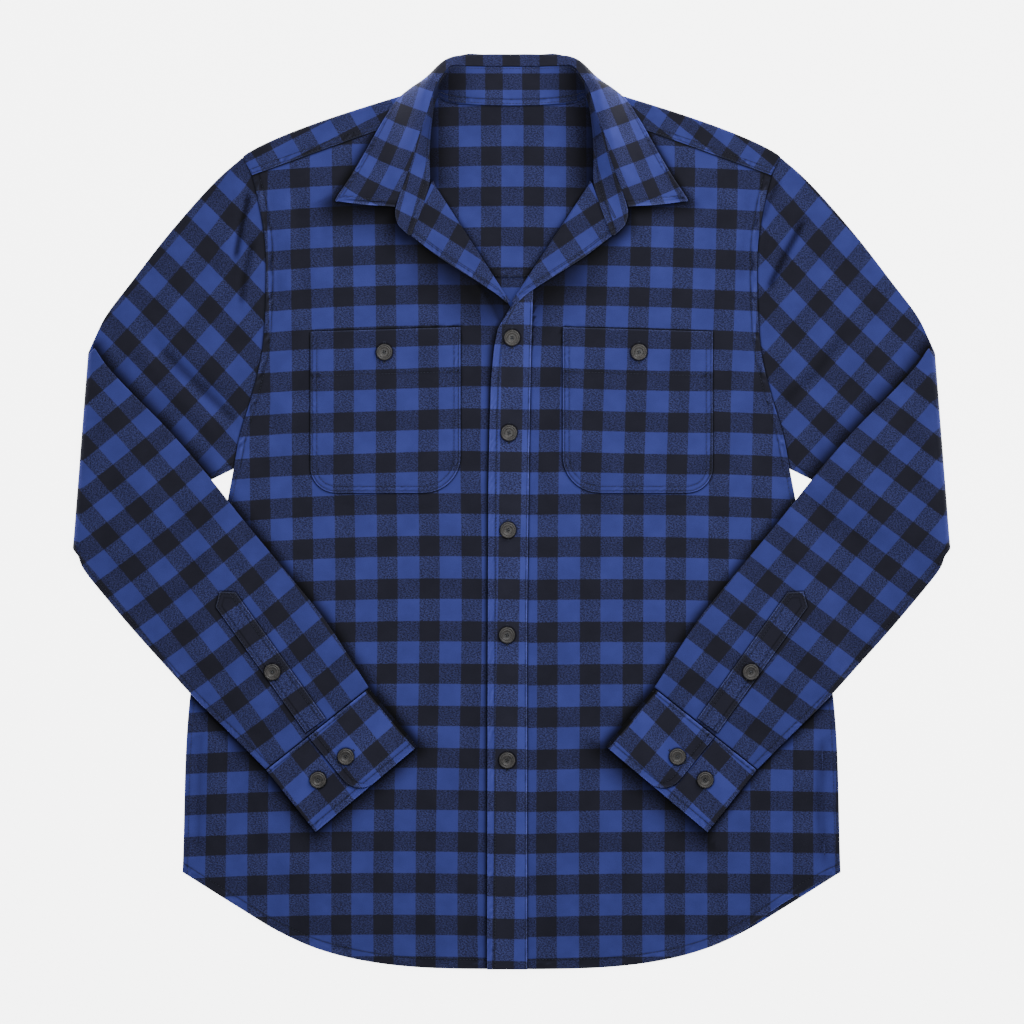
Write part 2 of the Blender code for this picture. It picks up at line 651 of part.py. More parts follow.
def cuff_path(width):
    """The middle of a cuff's band across the wrist, as (place, height), from its under lap to its upper one."""
    level = CUFF_WALL + GAP
    bottom = CUFF_WALL / 2
    path = [(share * width, bottom + level) for share in (CUFF_UNDERLAP, 0.7, 0.95)]
    for turn in EDGE_TURNS:
        angle = math.pi * turn
        out = level / 2 * math.sin(angle)
        path.append((width - level / 2 - CUFF_WALL / 2 + out, bottom + level / 2 * (1 + math.cos(angle))))
    path += [(share * width, bottom) for share in (0.95, 0.65, 0.35, 0.05)]
    for turn in EDGE_TURNS:
        angle = math.pi * turn
        path.append((level + CUFF_WALL / 2 - level * math.sin(angle), bottom + level * (1 - math.cos(angle))))
    return path + [(share * width, bottom + 2 * level) for share in (0.05, 0.2, 0.35, 0.5, CUFF_LAP)]


def add_cuff(name, side, finish):
    """A cuff as one band wound round the wrist, its rounded end lapped over the other."""
    width = np.linalg.norm(vec(*CUFF_SEAM[1]) - vec(*CUFF_SEAM[0]))
    depth = np.linalg.norm(vec(*CUFF_EDGE[0]) - vec(*CUFF_SEAM[0]))
    path = cuff_path(width)
    grid = []
    for down in CUFF_ROWS:
        rounded = CUFF_CORNER - math.sqrt(CUFF_CORNER**2 - max(down * depth - depth + CUFF_CORNER, 0.0) ** 2)
        row = []
        for i, (place, height) in enumerate(path):
            place -= rounded * max(i - len(path) + 4, 0) / 3
            x, y = mix(mix(*CUFF_SEAM, place / width), mix(*CUFF_EDGE, place / width), down)
            row.append(vec(side * x, y, FOREARM_LIFT + height))
        grid.append(row)
    return add_cloth(name, thickened(grid, CUFF_WALL), finish)


def both_sides(half):
    """Rows of points over both sides, from rows that start at the middle."""
    mirrored = [[point * vec(-1, 1, 1) for point in row] for row in half[:0:-1]]
    return mirrored + half


def refined(rows):
    """Rows of points with more between them, on smooth curves."""
    table = [(i, *np.concatenate(row)) for i, row in enumerate(rows)]
    marks = [i / COLLAR_STEPS for i in range(COLLAR_STEPS * (len(rows) - 1) + 1)]
    return [list(smooth(table, mark).reshape(-1, 3)) for mark in marks]


def add_stand(finish):
    """The collar stand, flat behind the neck and upright beside it, with rounded front ends."""
    whole = refined(both_sides([[vec(*point) for point in row[:2]] for row in COLLAR]))
    ends = [[vec(*point) for point in row] for row in STAND_END]
    rows = both_sides(whole[len(whole) // 2 :] + ends)
    grid = [[mix(low, high, c / STAND_COLUMNS) for c in range(STAND_COLUMNS + 1)] for low, high in rows]
    return add_cloth("collar_stand", thickened(grid, COLLAR_WALL), finish)


def add_leaf(finish):
    """The collar leaf, rolled over the stand and down onto the shirt."""
    half = [[vec(*point) for point in row] for row in (*(row[1:] for row in COLLAR), *LEAF_FRONT)]
    grid = []
    for seam, crest, fall, edge in refined(both_sides(half)):
        upright = step(seam[2] / UPRIGHT)
        start = seam + LEAF_START * vec(0, 1 - upright, upright) + unit(crest - seam) * GAP
        grid.append(through((start, crest, fall, edge), LEAF_COLUMNS + 1))
    return add_cloth("collar_leaf", thickened(grid, WALL), finish)


def add_button(name, x, y, surface, finish):
    """A round button with a raised rim and a dished middle, lying on a surface."""
    reach = BUTTON_RADIUS
    slope_x = (surface(x + reach, y) - surface(x - reach, y)) / (2 * reach)
    slope_y = (surface(x, y + reach) - surface(x, y - reach)) / (2 * reach)
    mesh = bmesh.new()
    loops = []
    for radius, rise in BUTTON_RINGS:
        loop = []
        for i in range(BUTTON_SIDES):
            angle = 2 * math.pi * i / BUTTON_SIDES
            across, up = radius * BUTTON_RADIUS * vec(math.cos(angle), math.sin(angle))
            height = rise * BUTTON_HEIGHT + slope_x * across + slope_y * up
            loop.append(mesh.verts.new(vec(across, up, height) * MM))
        loops.append(loop)
    for low, high in zip(loops, loops[1:]):
        for i in range(BUTTON_SIDES):
            j = (i + 1) % BUTTON_SIDES
            mesh.faces.new((low[i], low[j], high[j], high[i]))
    mesh.faces.new(loops[0][::-1])
    mesh.faces.new(loops[-1])
    button = add_object(name, mesh, finish)
    button.location = vec(x, y, surface(x, y) + BUTTON_SEAT) * MM
    return button


def add_buttons(finish):
    """Every button, on the cloth that carries it."""
    cuff_level = CUFF_WALL + GAP
    for i, (x, y) in enumerate(PLACKET_BUTTONS):
        add_button(f"button_placket_{i + 1}", x, y, lambda a, b: left_rise(a, b) + PLY + WALL, finish)
    for side, label, rise in ((-1, "right", right_rise), (1, "left", left_rise)):
        x, y = POCKET_BUTTON
        add_button(f"button_pocket_{label}", side * x, y, lambda a, b, on=rise: on(a, b) + PLY + WALL, finish)
        x, y = STRIP_BUTTON
        over_strip = STRIP_SEAT + WALL

        def strip_top(a, b, on=side):
            return forearm_top(on * a, b) + over_strip

        add_button(f"button_strip_{label}", side * x, y, strip_top, finish)
        for place, (x, y), below in (("cuff", CUFF_BUTTON, 2), ("cuff_spare", CUFF_SPARE_BUTTON, 1)):
            top = FOREARM_LIFT + below * cuff_level + CUFF_WALL
            add_button(f"button_{place}_{label}", side * x, y, lambda a, b, height=top: height, finish)


def main():
    """Clears the scene and builds the shirt."""
    for old in list(bpy.data.objects):
        bpy.data.objects.remove(old)
    body = material("flannel_body", (0.030, 0.048, 0.135), 0.9, 0.3)
    yoke = material("flannel_yoke", (0.026, 0.042, 0.120), 0.9, 0.3)
    sleeve = material("flannel_sleeve", (0.032, 0.052, 0.145), 0.9, 0.3)
    trim = material("flannel_trim", (0.036, 0.058, 0.160), 0.9, 0.3)
    plastic = material("button_plastic", (0.030, 0.028, 0.028), 0.45)
    add_back(body)
    add_yoke(yoke)
    add_inner_yoke(yoke)
    add_front("front_right", -1, BUTTON_EDGE, RIGHT_LAPEL, right_rise, body)
    add_front("front_left", 1, BUTTONHOLE_EDGE, LEFT_LAPEL, left_rise, body)
    add_placket(trim)
    add_pocket("pocket_right", -1, right_rise, trim)
    add_pocket("pocket_left", 1, left_rise, trim)
    for side, label in ((-1, "right"), (1, "left")):
        add_sleeve(f"sleeve_{label}", side, sleeve)
        add_strip(f"sleeve_strip_{label}", side, trim)
        add_cuff(f"cuff_{label}", side, trim)
    add_stand(trim)
    add_leaf(trim)
    add_buttons(plastic)


main()
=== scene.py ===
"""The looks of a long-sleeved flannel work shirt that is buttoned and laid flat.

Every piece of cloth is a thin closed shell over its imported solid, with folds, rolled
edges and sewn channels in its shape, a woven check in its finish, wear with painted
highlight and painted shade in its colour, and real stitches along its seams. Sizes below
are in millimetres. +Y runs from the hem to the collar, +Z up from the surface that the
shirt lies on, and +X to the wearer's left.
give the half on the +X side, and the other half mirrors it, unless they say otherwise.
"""

import json
import logging
import math
from collections.abc import Callable, Iterable, Sequence
from dataclasses import dataclass
from enum import Enum

import bpy
import numpy as np
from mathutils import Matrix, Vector

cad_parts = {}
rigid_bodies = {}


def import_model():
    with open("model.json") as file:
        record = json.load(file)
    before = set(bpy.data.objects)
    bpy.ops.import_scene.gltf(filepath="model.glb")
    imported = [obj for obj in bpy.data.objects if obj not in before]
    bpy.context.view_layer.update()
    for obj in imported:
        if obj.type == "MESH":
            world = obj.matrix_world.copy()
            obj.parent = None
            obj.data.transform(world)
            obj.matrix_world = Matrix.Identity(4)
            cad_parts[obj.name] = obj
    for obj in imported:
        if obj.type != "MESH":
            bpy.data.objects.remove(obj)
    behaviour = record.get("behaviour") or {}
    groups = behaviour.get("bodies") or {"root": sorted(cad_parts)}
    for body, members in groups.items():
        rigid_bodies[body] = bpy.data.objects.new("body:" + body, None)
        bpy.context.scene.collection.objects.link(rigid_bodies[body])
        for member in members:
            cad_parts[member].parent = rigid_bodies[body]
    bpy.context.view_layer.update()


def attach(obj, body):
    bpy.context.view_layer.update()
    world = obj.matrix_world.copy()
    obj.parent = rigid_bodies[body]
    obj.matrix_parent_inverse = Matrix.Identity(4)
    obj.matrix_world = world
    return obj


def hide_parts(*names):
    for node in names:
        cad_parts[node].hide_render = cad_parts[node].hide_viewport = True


LOG = logging.getLogger("shirt")

Array = np.ndarray
Object, Material, Mesh = bpy.types.Object, bpy.types.Material, bpy.types.Mesh
Node, Socket = bpy.types.Node, bpy.types.NodeSocket

MM = 0.001

# Cloth
WALL = 1.2  # one ply and half of each gap beside it, as packed
GAP = 0.3
PLY = WALL + GAP
COLLAR_WALL = 1.5
CUFF_WALL = 1.6
THIN = 0.1  # how much thinner a shell is than its solid
LOWER_FACE, UPPER_FACE = THIN / 2, WALL - THIN / 2  # a ply's faces above its packed underside
EDGE_STATIONS = (0, 0.2, 0.6, 1.3, 2.6, 4.4)  # distances from an edge that is rolled over

# Body
HALF_CHEST = 250.7
ARMPIT_Y = 38.4
SHOULDER_TIP = (241.7, 319.2)
SHOULDER_NECK = (68, 384.2)
SHOULDER_EASE = -0.3
SHOULDER_BOW = 5.8
NECK_SIDE_Y = 377
BACK_SEAM_Y = 215
INNER_YOKE_Y = 211
INNER_YOKE_INSET = 9
INNER_YOKE_REACH = 217
SIDE_CORNER = (296.6, -324.3)
HEM_Y = -412
BODY_PUFF = 2.4
PUFF_REACH = (70, 60, 60)
RAISED_FROM, RAISED_OVER = 100, 110

# Front opening
OPENING_Y = 188
ROLL_TOP = (71, 293)
ROLL_FOOT = (0.5, OPENING_Y)
ROLL_HINGE = 2.2
LAP_EDGE, LAP_FADE = 16, 55
LAP_TOP_FADE = 60

# Sleeves
SLEEVE_PUFF = 2.4
ELBOW_HINGE = 4.25
ELBOW_ROUND = 7
FOREARM_LIFT = 2 * ELBOW_HINGE - WALL - PLY
SAG_REACH = 30
UNDERARM_STITCHES = 5.7

# Armhole and side seam, from the hem up: (y, x)
BODY_EDGE = (
    (-324.3, 296.6),
    (-169.5, 290.3),
    (-60, 269.4),
    (ARMPIT_Y, HALF_CHEST),
    (70.8, 244.4),
    (102.3, 234.8),
    (142.8, 225.1),
    (190.5, 221.6),
    (234.6, 221.6),
    (266.1, 225.5),
    (303.9, 234.5),
    (319.2, 241.7),
)
# Hem and back of the neck: (x, y)
HEM = (
    (0, HEM_Y),
    (75, -410.7),
    (127, -405.3),
    (172, -394.5),
    (209, -378.3),
    (245, -356.7),
    SIDE_CORNER,
)
BACK_NECK = ((0, 365.7), (40, 366.8), (60, 369.5), (68, NECK_SIDE_Y))
YOKE_FRONT_SEAM = ((76, 359.4), (233.3, 302.6))
YOKE_STITCHES, INNER_YOKE_STITCHES = (1.5, 5.4), (1.3, 8.2)
# Neck edge, roll line and centre edge of each front, from the hem up: (y, x)
NECK_EDGE = ((293, 71), (315, 77.5), (360, 76.5))
BUTTON_EDGE = ((HEM_Y, -15.7), (150, -15.7), (OPENING_Y, 3.2), *NECK_EDGE)
BUTTONHOLE_EDGE = (
    (HEM_Y, -22.1),
    (-171, -21.7),
    (22, -21),
    (82.5, -19.8),
    (118.5, -18.5),
    (147.3, -15.8),
    (165.3, -12.2),
    (OPENING_Y, 1.8),
    *NECK_EDGE,
)
PLACKET_SEAM = ((HEM_Y, 13.9), (-98, 13.9), (47, 15.7), (142, 17.5), (200, 19.3))
PLACKET_STITCHES, PLACKET_SEAM_STITCHES = 6.5, 1.6

# Fronts: how high they reach, and how far in from their edges their lines of stitches are
FRONT_TOP = YOKE_FRONT_SEAM[0][1]
ARMHOLE_STITCHES, SIDE_STITCHES, HEM_STITCHES = 6.3, 3.6, 8.6
LAPEL_STITCHES = (4.3, 5.8)
# A front's levels: (y at its centre edge, y at its outer edge)
FRONT_LEVELS = (
    (HEM_Y, SIDE_CORNER[1]),
    (HEM_Y + 14, SIDE_CORNER[1] + 14),
    (82, ARMPIT_Y),
    (OPENING_Y, 128),
    (ROLL_TOP[1], 222),
    (FRONT_TOP, 302.6),
)
# The lapels' outer edges: (share of the roll line, x, y)
UPPER_LAPEL = ((0, 88, 246.3), (0.35, 64.4, 228.4), (0.7, 35, 209.6))
RIGHT_LAPEL = (*UPPER_LAPEL, (0.9, 14.6, 196.2), (1, 4, 187.6))
LEFT_LAPEL = (*UPPER_LAPEL, (0.9, 13, 195), (1, -3, 179.5))

# Sleeve rings down to the elbow: (upper edge x, y, underarm x, y, share of the armhole's curve)
UPPER_ARM = (
    (241.9, 319.2, 250.9, 38.4, 1),
    (262, 301.8, 268, 29.9, 0.7),
    (284, 278.6, 290, 19, 0.4),
    (313, 244.5, 320, 4.1, 0.15),
    (340.7, 208.5, 348, -9.8, 0),
    (364.5, 177, 372, -21, 0),
    (376.5, 153, 389.5, -36, 0),
)
# Sleeve rings from the elbow to the cuff: (upper edge x, y, lower edge x, y)
FOREARM = (
    (375, 147, 389.5, -40),
    (364, 131, 383.5, -54),
    (342.5, 107.7, 363.2, -79.5),
    (312, 77, 339, -108),
    (280, 41, 313, -137),
    (240, -9, 284, -168.5),
    (202, -55, 262, -190.5),
    (166.5, -99.3, 243, -209.5),
    (128.2, -158.2, 220.9, -231.9),
)

# Cuffs, with the ends of the band as shares of its width
CUFF_SEAM = ((128, -158.8), (220.6, -232.4))
CUFF_EDGE = ((84.6, -210.9), (176.4, -288.3))
CUFF_LAP = 0.59
CUFF_UNDERLAP = 0.42
CUFF_CORNER = 20
CUFF_STITCHES, CUFF_SEAM_STITCHES = 6, 2.6

# Sleeve opening strips
STRIP_TOP = (257, -79)
STRIP_FOOT = (176.2, -192.3)
STRIP_WIDTH = 22
STRIP_POINT = 9
STRIP_SEAT = 0.45
STRIP_STITCHES = (1.6, 4.8)

# Chest pockets, with the inner edge or corner first
POCKET_SIDES = (46, 181)
POCKET_TOP = (166, 162)
POCKET_FOOT = 17
POCKET_CORNERS = (33, 23)
POCKET_STITCHES = (1.7, 5.9)
POCKET_HEM = 40

# Collar, from the middle of the back to the front end: the stand's sewn edge, the
# seam where the leaf starts, the crest of the leaf's roll, a point on its fall and
# its outer edge, each as (x, y, z)
COLLAR = (
    ((0, 365.8, 2.4), (0, 400.4, 3.6), (0, 412.6, 2.2), (0, 402, 0.7), (0, 369.8, 0.7)),
    ((24, 366.3, 2.4), (23, 400.5, 3.7), (24, 412.4, 2.3), (25, 402, 0.7), (26, 370.4, 0.7)),
    ((45, 367.8, 2.5), (41, 400.8, 5.4), (43, 411, 4.6), (47, 402, 0.9), (48, 380, 0.8)),
    ((60, 370.4, 3.2), (54, 400.6, 10), (58.5, 406.2, 10.4), (65, 399.5, 4), (64, 393, 0.9)),
    ((66.5, 373, 5.2), (62.5, 391, 17), (69, 393.8, 17.6), (78.5, 389, 8), (82, 386, 1.4)),
    ((69.8, 366, 6), (69.8, 377, 23), (77.5, 379.2, 24), (91, 377.5, 13), (101.5, 372, 5.2)),
    ((72.4, 350, 6.2), (75.8, 357, 26.5), (82.5, 358.5, 28), (98, 357, 18), (115, 352.5, 7.2)),
    ((73.9, 332, 6.3), (82.4, 339, 27), (88, 340, 28.6), (104, 337.5, 18.5), (124.5, 336.4, 7.2)),
    ((74.2, 313, 7.4), (87.4, 320, 25.5), (93, 320.5, 27), (111, 318, 17), (134, 319.6, 7.4)),
    ((74, 297, 8.6), (93.8, 302, 21), (99, 302, 22.4), (118, 300, 14.2), (145.5, 300.5, 7.6)),
    ((77.2, 282.9, 10.2), (100.2, 285.5, 16.4), (105, 285.6, 17), (125, 285.5, 11.8), (157.8, 281.8, 7.6)),
)
LEAF_FRONT = ((104.8, 273.8, 13.2), (109, 274.4, 14), (129, 275.8, 10.4), (157, 279.2, 7.6))
# The stand's front end, past the leaf: its sewn edge and its free edge
STAND_END = (
    ((82.8, 266.4, 10.6), (104.6, 270, 13.2)),
    ((86.2, 258.2, 11), (102.2, 258.5, 12.6)),
    ((88.4, 252.2, 11), (96.4, 252, 11.8)),
    ((89.8, 248.8, 11), (92.4, 248.4, 11.2)),
)
LEAF_START = 0.6
LEAF_STITCHES = 5.2
STAND_STITCHES, STAND_TOP_STITCHES = 5.4, 1.6
UPRIGHT = 8

# Buttons: (x, y)
PLACKET_BUTTONS = ((0.4, 156.3), (-2.3, 70.8), (-3.2, -16.5), (-4.1, -111), (-4.1, -223.5))
POCKET_BUTTON = (114.5, 143.5)
CUFF_BUTTON = (149, -220)
CUFF_SPARE_BUTTON = (174, -241)
STRIP_BUTTON = (215, -144)

# Broad troughs in the upper cloth, on their own sides: (from x, y, to x, y, width, depth)
TROUGHS = (
    (-317, 147, -243, 79, 20, 1.3),
    (296, 146, 242, 83, 20, 1.3),
    (262, 236, 318, 205, 18, 1),
    (-205, 300, -192, 190, 20, 1),
    (205, 290, 196, 200, 20, 0.8),
    (-268, -235, -215, -330, 24, 1),
)
TROUGH_LIMIT = 0.6


class Side(Enum):
    """A side of the wearer, by the sign of its X."""

    RIGHT = -1
    LEFT = 1

    @property
    def label(self) -> str:
        """The side's name in the names of nodes."""
        return self.name.lower()


class Held(Enum):
    """How a sheet of cloth is held."""

    LAID = "laid"
    FOLDED = "folded"


def step(value: Array | float) -> Array:
    """0 up to 0, 1 from 1, with an even swell between."""
    value = np.clip(value, 0, 1)
    return value * value * (3 - 2 * value)


def mix(a: Sequence | Array, b: Sequence | Array, share: Array | float) -> Array:
    """The value at a share of the way from a to b."""
    return (1 - share) * np.asarray(a, float) + share * np.asarray(b, float)


def unit(direction: Array) -> Array:
    """Directions, each one long."""
    return direction / np.maximum(np.linalg.norm(direction, axis=-1, keepdims=True), 1e-9)


def bell(value: Array) -> Array:
    """1 at 0, falling off evenly to nothing by 2."""
    return np.exp(-np.square(value))


def nearest(values: Array, at: float) -> int:
    """The number of the value that is nearest to one."""
    return int(np.abs(values - at).argmin())


def stack(*parts: Array | float) -> Array:
    """Coordinates side by side in a new last axis."""
    return np.stack(np.broadcast_arrays(*parts), axis=-1).astype(float)


def lengths(points: Array, axis: int = 0) -> Array:
    """Distances covered along a row of points, from its start.

    Args:
        points: places, with their coordinates in the last axis.
        axis: the axis that the row runs along.

    Returns:
        The distance at every point.
    """
    steps = np.linalg.norm(np.diff(points, axis=axis), axis=-1)
    start = np.zeros_like(np.take(steps, [0], axis=axis))
    return np.cumsum(np.concatenate([start, steps], axis=axis), axis=axis)


def share_along(x: Array, y: Array, start: Sequence, end: Sequence) -> Array:
    """The share of the way from start to end that is nearest to each place."""
    (x1, y1), (x2, y2) = start[:2], end[:2]
    run_x, run_y = x2 - x1, y2 - y1
    return np.clip(((x - x1) * run_x + (y - y1) * run_y) / (run_x**2 + run_y**2), 0, 1)


def beyond(x: Array, y: Array, start: Sequence, end: Sequence) -> Array:
    """How far each place lies to the left of the line from start to end."""
    along_x, along_y = unit(np.subtract(end[:2], start[:2]).astype(float))
    return along_x * (y - start[1]) - along_y * (x - start[0])


def from_line(x: Array, y: Array, start: Sequence, end: Sequence) -> Array:
    """How far each place is from the line between start and end."""
    share = share_along(x, y, start, end)
    return np.hypot(x - mix(start[0], end[0], share), y - mix(start[1], end[1], share))


class Curve:
    """Values beside a key, on a smooth curve or straight lines through every row of a table."""

    def __init__(self, rows: Iterable[Sequence[float]], straight: bool = False) -> None:
        """Reads the rows, each its key and then its values, in the order of their keys."""
        table = np.array(list(rows), float)
        self.keys, self.values = table[:, 0], table[:, 1:]
        at = np.arange(len(table))
        after, before = np.minimum(at + 1, at[-1]), np.maximum(at - 1, 0)
        self.slopes = (self.values[after] - self.values[before]) / (self.keys[after] - self.keys[before])[:, None]
        self.straight = straight

    def __call__(self, key: Array | float) -> Array:
        """The values at each key, without their axis where there is one value."""
        key = np.asarray(key, float)
        low = np.clip(np.searchsorted(self.keys, key, side="right") - 1, 0, len(self.keys) - 2)
        span = (self.keys[low + 1] - self.keys[low])[..., None]
        t = (key - self.keys[low])[..., None] / span
        start, end = self.values[low], self.values[low + 1]
        if self.straight:
            found = mix(start, end, t)
        else:
            found = start * (2 * t**3 - 3 * t**2 + 1) + end * (3 * t**2 - 2 * t**3)
            found = found + span * (self.slopes[low] * (t**3 - 2 * t**2 + t) + self.slopes[low + 1] * (t**3 - t**2))
        return found[..., 0] if found.shape[-1] == 1 else found


def stations(width: Array | float, near: Sequence, far: Sequence, count: int) -> Array:
    """Places across each row of a cloth, closer together beside its edges.

    Args:
        width: the width of each row.
        near: distances from the first edge, from 0 up.
        far: distances from the last edge, from 0 up.
        count: how many places to spread evenly between those.

    Returns:
        Distances from the first edge, one row of them for each width.
    """
    width = np.atleast_1d(np.asarray(width, float))[:, None]
    first = np.broadcast_to(near, (len(width), len(near)))
    last = width - np.asarray(far[::-1], float)
    between = mix(first[:, -1:], last[:, :1], np.linspace(0, 1, count + 2)[1:-1])
    return np.hstack([first, between, last])


outer_edge = Curve(BODY_EDGE)
back_neck = Curve(BACK_NECK)
hem_curve = Curve(HEM)
buttonhole_edge = Curve(BUTTONHOLE_EDGE, straight=True)
button_edge = Curve(BUTTON_EDGE, straight=True)
placket_seam = Curve(PLACKET_SEAM, straight=True)
front_level = Curve(FRONT_LEVELS, straight=True)


def hem_y(x: Array) -> Array:
    """Height of the curved hem."""
    return hem_curve(np.minimum(np.abs(x), SIDE_CORNER[0]))


def trough(x: Array, y: Array) -> Array:
    """Depth of the broad troughs at places on the shirt."""
    depth = np.zeros(np.broadcast(x, y).shape)
    for x1, y1, x2, y2, width, deepest in TROUGHS:
        depth += deepest * (1 - step(from_line(x, y, (x1, y1), (x2, y2)) / width))
    return depth


@dataclass(frozen=True)
class Fold:
    """A soft crease in the upper cloth.

    Attributes:
        line: the places that it runs through, as (x, y).
        width: how far it reaches to either side.
        height: how far it rises, or sinks where it is below 0.
        shift: how far it drags the check along, across itself.
    """

    line: tuple[tuple[float, float], ...]
    width: float
    height: float
    shift: float = 0.0

    def shape(self, x: Array, y: Array) -> tuple[Array, Array, Array]:
        """Its height at places on the shirt, and how far it moves the check there, as x and y."""
        nearest = np.full(np.broadcast(x, y).shape, 1e9)
        fade = np.zeros_like(nearest)
        away_x, away_y = np.zeros_like(nearest), np.zeros_like(nearest)
        last = len(self.line) - 2
        for i, (start, end) in enumerate(zip(self.line, self.line[1:])):
            share = share_along(x, y, start, end)
            off_x, off_y = x - mix(start[0], end[0], share), y - mix(start[1], end[1], share)
            far = np.hypot(off_x, off_y)
            closer = far < nearest
            nearest = np.where(closer, far, nearest)
            tail = step(4 * (share if i == 0 else 1)) * step(4 * (1 - share if i == last else 1))
            fade = np.where(closer, 0.35 + 0.65 * tail, fade)
            away_x, away_y = np.where(closer, off_x, away_x), np.where(closer, off_y, away_y)
        reach = nearest / self.width
        rise = self.height * fade * (1 - step(reach)) ** 1.4
        drag = self.shift * fade * np.where(reach < 1, np.sin(math.pi * np.clip(reach, 0, 1)), 0)
        return rise, drag * away_x / (nearest + 1e-6), drag * away_y / (nearest + 1e-6)


# Creases: on the body, and on the sleeves
BODY_FOLDS = tuple(Fold(*row) for row in (
    (((-283, -190), (-281, -250), (-284, -315)), 12, -1.7, 0.5),
    (((-262, -196), (-260, -262), (-266, -330)), 13, 1.3, 0.5),
    (((-240, -205), (-234, -262), (-222, -318)), 13, -0.8, 0.5),
    (((-216, -205), (-206, -280), (-200, -350)), 12, 0.6, 0.4),
    (((-218, 292), (-213, 240), (-210, 186)), 9, -1.1, 0.8),
    (((-203, 292), (-199, 240), (-200, 186)), 9, 0.9, 0.6),
    (((-181, 286), (-176, 236), (-180, 190)), 10, 0.5, 0.5),
    (((-226, 120), (-214, 84), (-204, 40)), 12, -0.8, 0.5),
    (((-30, 206), (-19, 188), (-8, 170)), 8, -2.2, 0.6),
    (((-42, 214), (-31, 196), (-22, 176)), 8, 1, 0.5),
    (((-60, 196), (-44, 178), (-34, 160)), 9, -0.5, 0.4),
    (((53, 226), (44, 208), (40, 190)), 9, 0.5, 0.4),
    (((-160, 9), (-112, -1), (-62, 6)), 6, -0.8, 0.3),
    (((62, 7), (112, -1), (164, 8)), 6, -0.8, 0.3),
    (((214, 292), (209, 250), (206, 205)), 10, -0.9, 0.5),
    (((196, 288), (193, 250), (192, 205)), 10, 0.7, 0.4),
    (((281, -200), (277, -262), (282, -320)), 11, -2, 0.4),
    (((262, -206), (259, -270), (262, -326)), 12, 1.3, 0.4),
    (((236, -216), (240, -280), (246, -338)), 12, -0.7, 0.4),
    (((-96, -300), (-90, -350), (-92, -398)), 16, 0.4, 0.3),
    (((88, -310), (95, -356), (92, -400)), 16, -0.5, 0.3),
))
SLEEVE_FOLDS = tuple(Fold(*row) for row in (
    (((-241, 306), (-250, 280), (-262, 262)), 8, 1.2, 0.8),
    (((-236, 288), (-243, 258), (-249, 226)), 7, -2.3, 0.8),
    (((-247, 276), (-256, 246), (-262, 214)), 8, 1.8, 0.6),
    (((-233, 246), (-240, 214), (-244, 184)), 8, -1.6, 0.6),
    (((-318, 150), (-282, 114), (-246, 80)), 11, -1.6, 0.6),
    (((-336, 146), (-298, 102), (-262, 66)), 12, 1.8, 0.5),
    (((-330, 176), (-290, 142), (-246, 106)), 14, 1, 0.5),
    (((-316, 226), (-292, 200), (-262, 180)), 13, 0.6, 0.4),
    (((252, 288), (238, 258), (227, 230)), 8, 2.2, 0.8),
    (((264, 264), (246, 231), (230, 198)), 8, -2.4, 0.7),
    (((242, 300), (232, 280), (226, 262)), 6, -1.6, 0.6),
    (((282, 258), (262, 224), (242, 190)), 10, 1.2, 0.6),
    (((300, 160), (276, 128), (242, 96)), 11, -1.2, 0.8),
    (((318, 152), (292, 112), (258, 80)), 12, 1, 0.5),
))
CLEAR_OF_FOREARM = 26  # how soon folds fade out beside what lies on the cloth


def folded(folds: Sequence[Fold], x: Array, y: Array) -> tuple[Array, Array, Array]:
    """The height of some creases together, and how far they move the check, as x and y."""
    shapes = [fold.shape(x, y) for fold in folds]
    return tuple(sum(parts) for parts in zip(*shapes))


class Outline:
    """The closed outline of a flat piece."""

    def __init__(self, points: Sequence[Sequence[float]]) -> None:
        """Takes its corners in order, as (x, y)."""
        self.points = np.asarray(points, float)

    def distance(self, x: Array, y: Array) -> Array:
        """How far places are from it: above 0 outside and below 0 inside."""
        nearest = np.full(np.broadcast(x, y).shape, 1e9)
        crossings = np.zeros(nearest.shape, int)
        for (x1, y1), (x2, y2) in zip(self.points, np.roll(self.points, -1, axis=0)):
            nearest = np.minimum(nearest, from_line(x, y, (x1, y1), (x2, y2)))
            if y1 != y2:
                spans = (y1 > y) != (y2 > y)
                crossings += spans & (x < x1 + (y - y1) * (x2 - x1) / (y2 - y1))
        return np.where(crossings % 2 == 1, -nearest, nearest)


FOREARM_OUTLINE = Outline([
    *(row[:2] for row in FOREARM),
    *CUFF_EDGE,
    *(row[2:] for row in FOREARM[::-1]),
])


def clear_of_forearm(x: Array, y: Array) -> Array:
    """1 where the cloth lies open, and 0 where a forearm or a cuff lies on it."""
    return step(FOREARM_OUTLINE.distance(np.abs(x), y) / CLEAR_OF_FOREARM)


def body_folds(x: Array, y: Array) -> tuple[Array, Array, Array]:
    """The creases of the fronts: their height, and how far they move the check, as x and y."""
    rise, drag_x, drag_y = folded(BODY_FOLDS, x, y)
    half = np.abs(x)
    edge = np.minimum(outer_edge(np.clip(y, SIDE_CORNER[1], SHOULDER_TIP[1])) - half, y - hem_y(x))
    open_cloth = clear_of_forearm(x, y) * step(edge / 16)
    return rise * open_cloth, drag_x, drag_y


def puff(x: Array, y: Array) -> Array:
    """How far the fronts rise over the air in the shirt."""
    half = np.abs(x)
    side_reach, hem_reach, shoulder_reach = PUFF_REACH
    rise = BODY_PUFF * step((outer_edge(np.maximum(y, SIDE_CORNER[1])) - half) / side_reach)
    rise = rise * step((y - hem_y(half)) / hem_reach)
    return rise * step(beyond(half, y, SHOULDER_TIP, SHOULDER_NECK) / shoulder_reach)


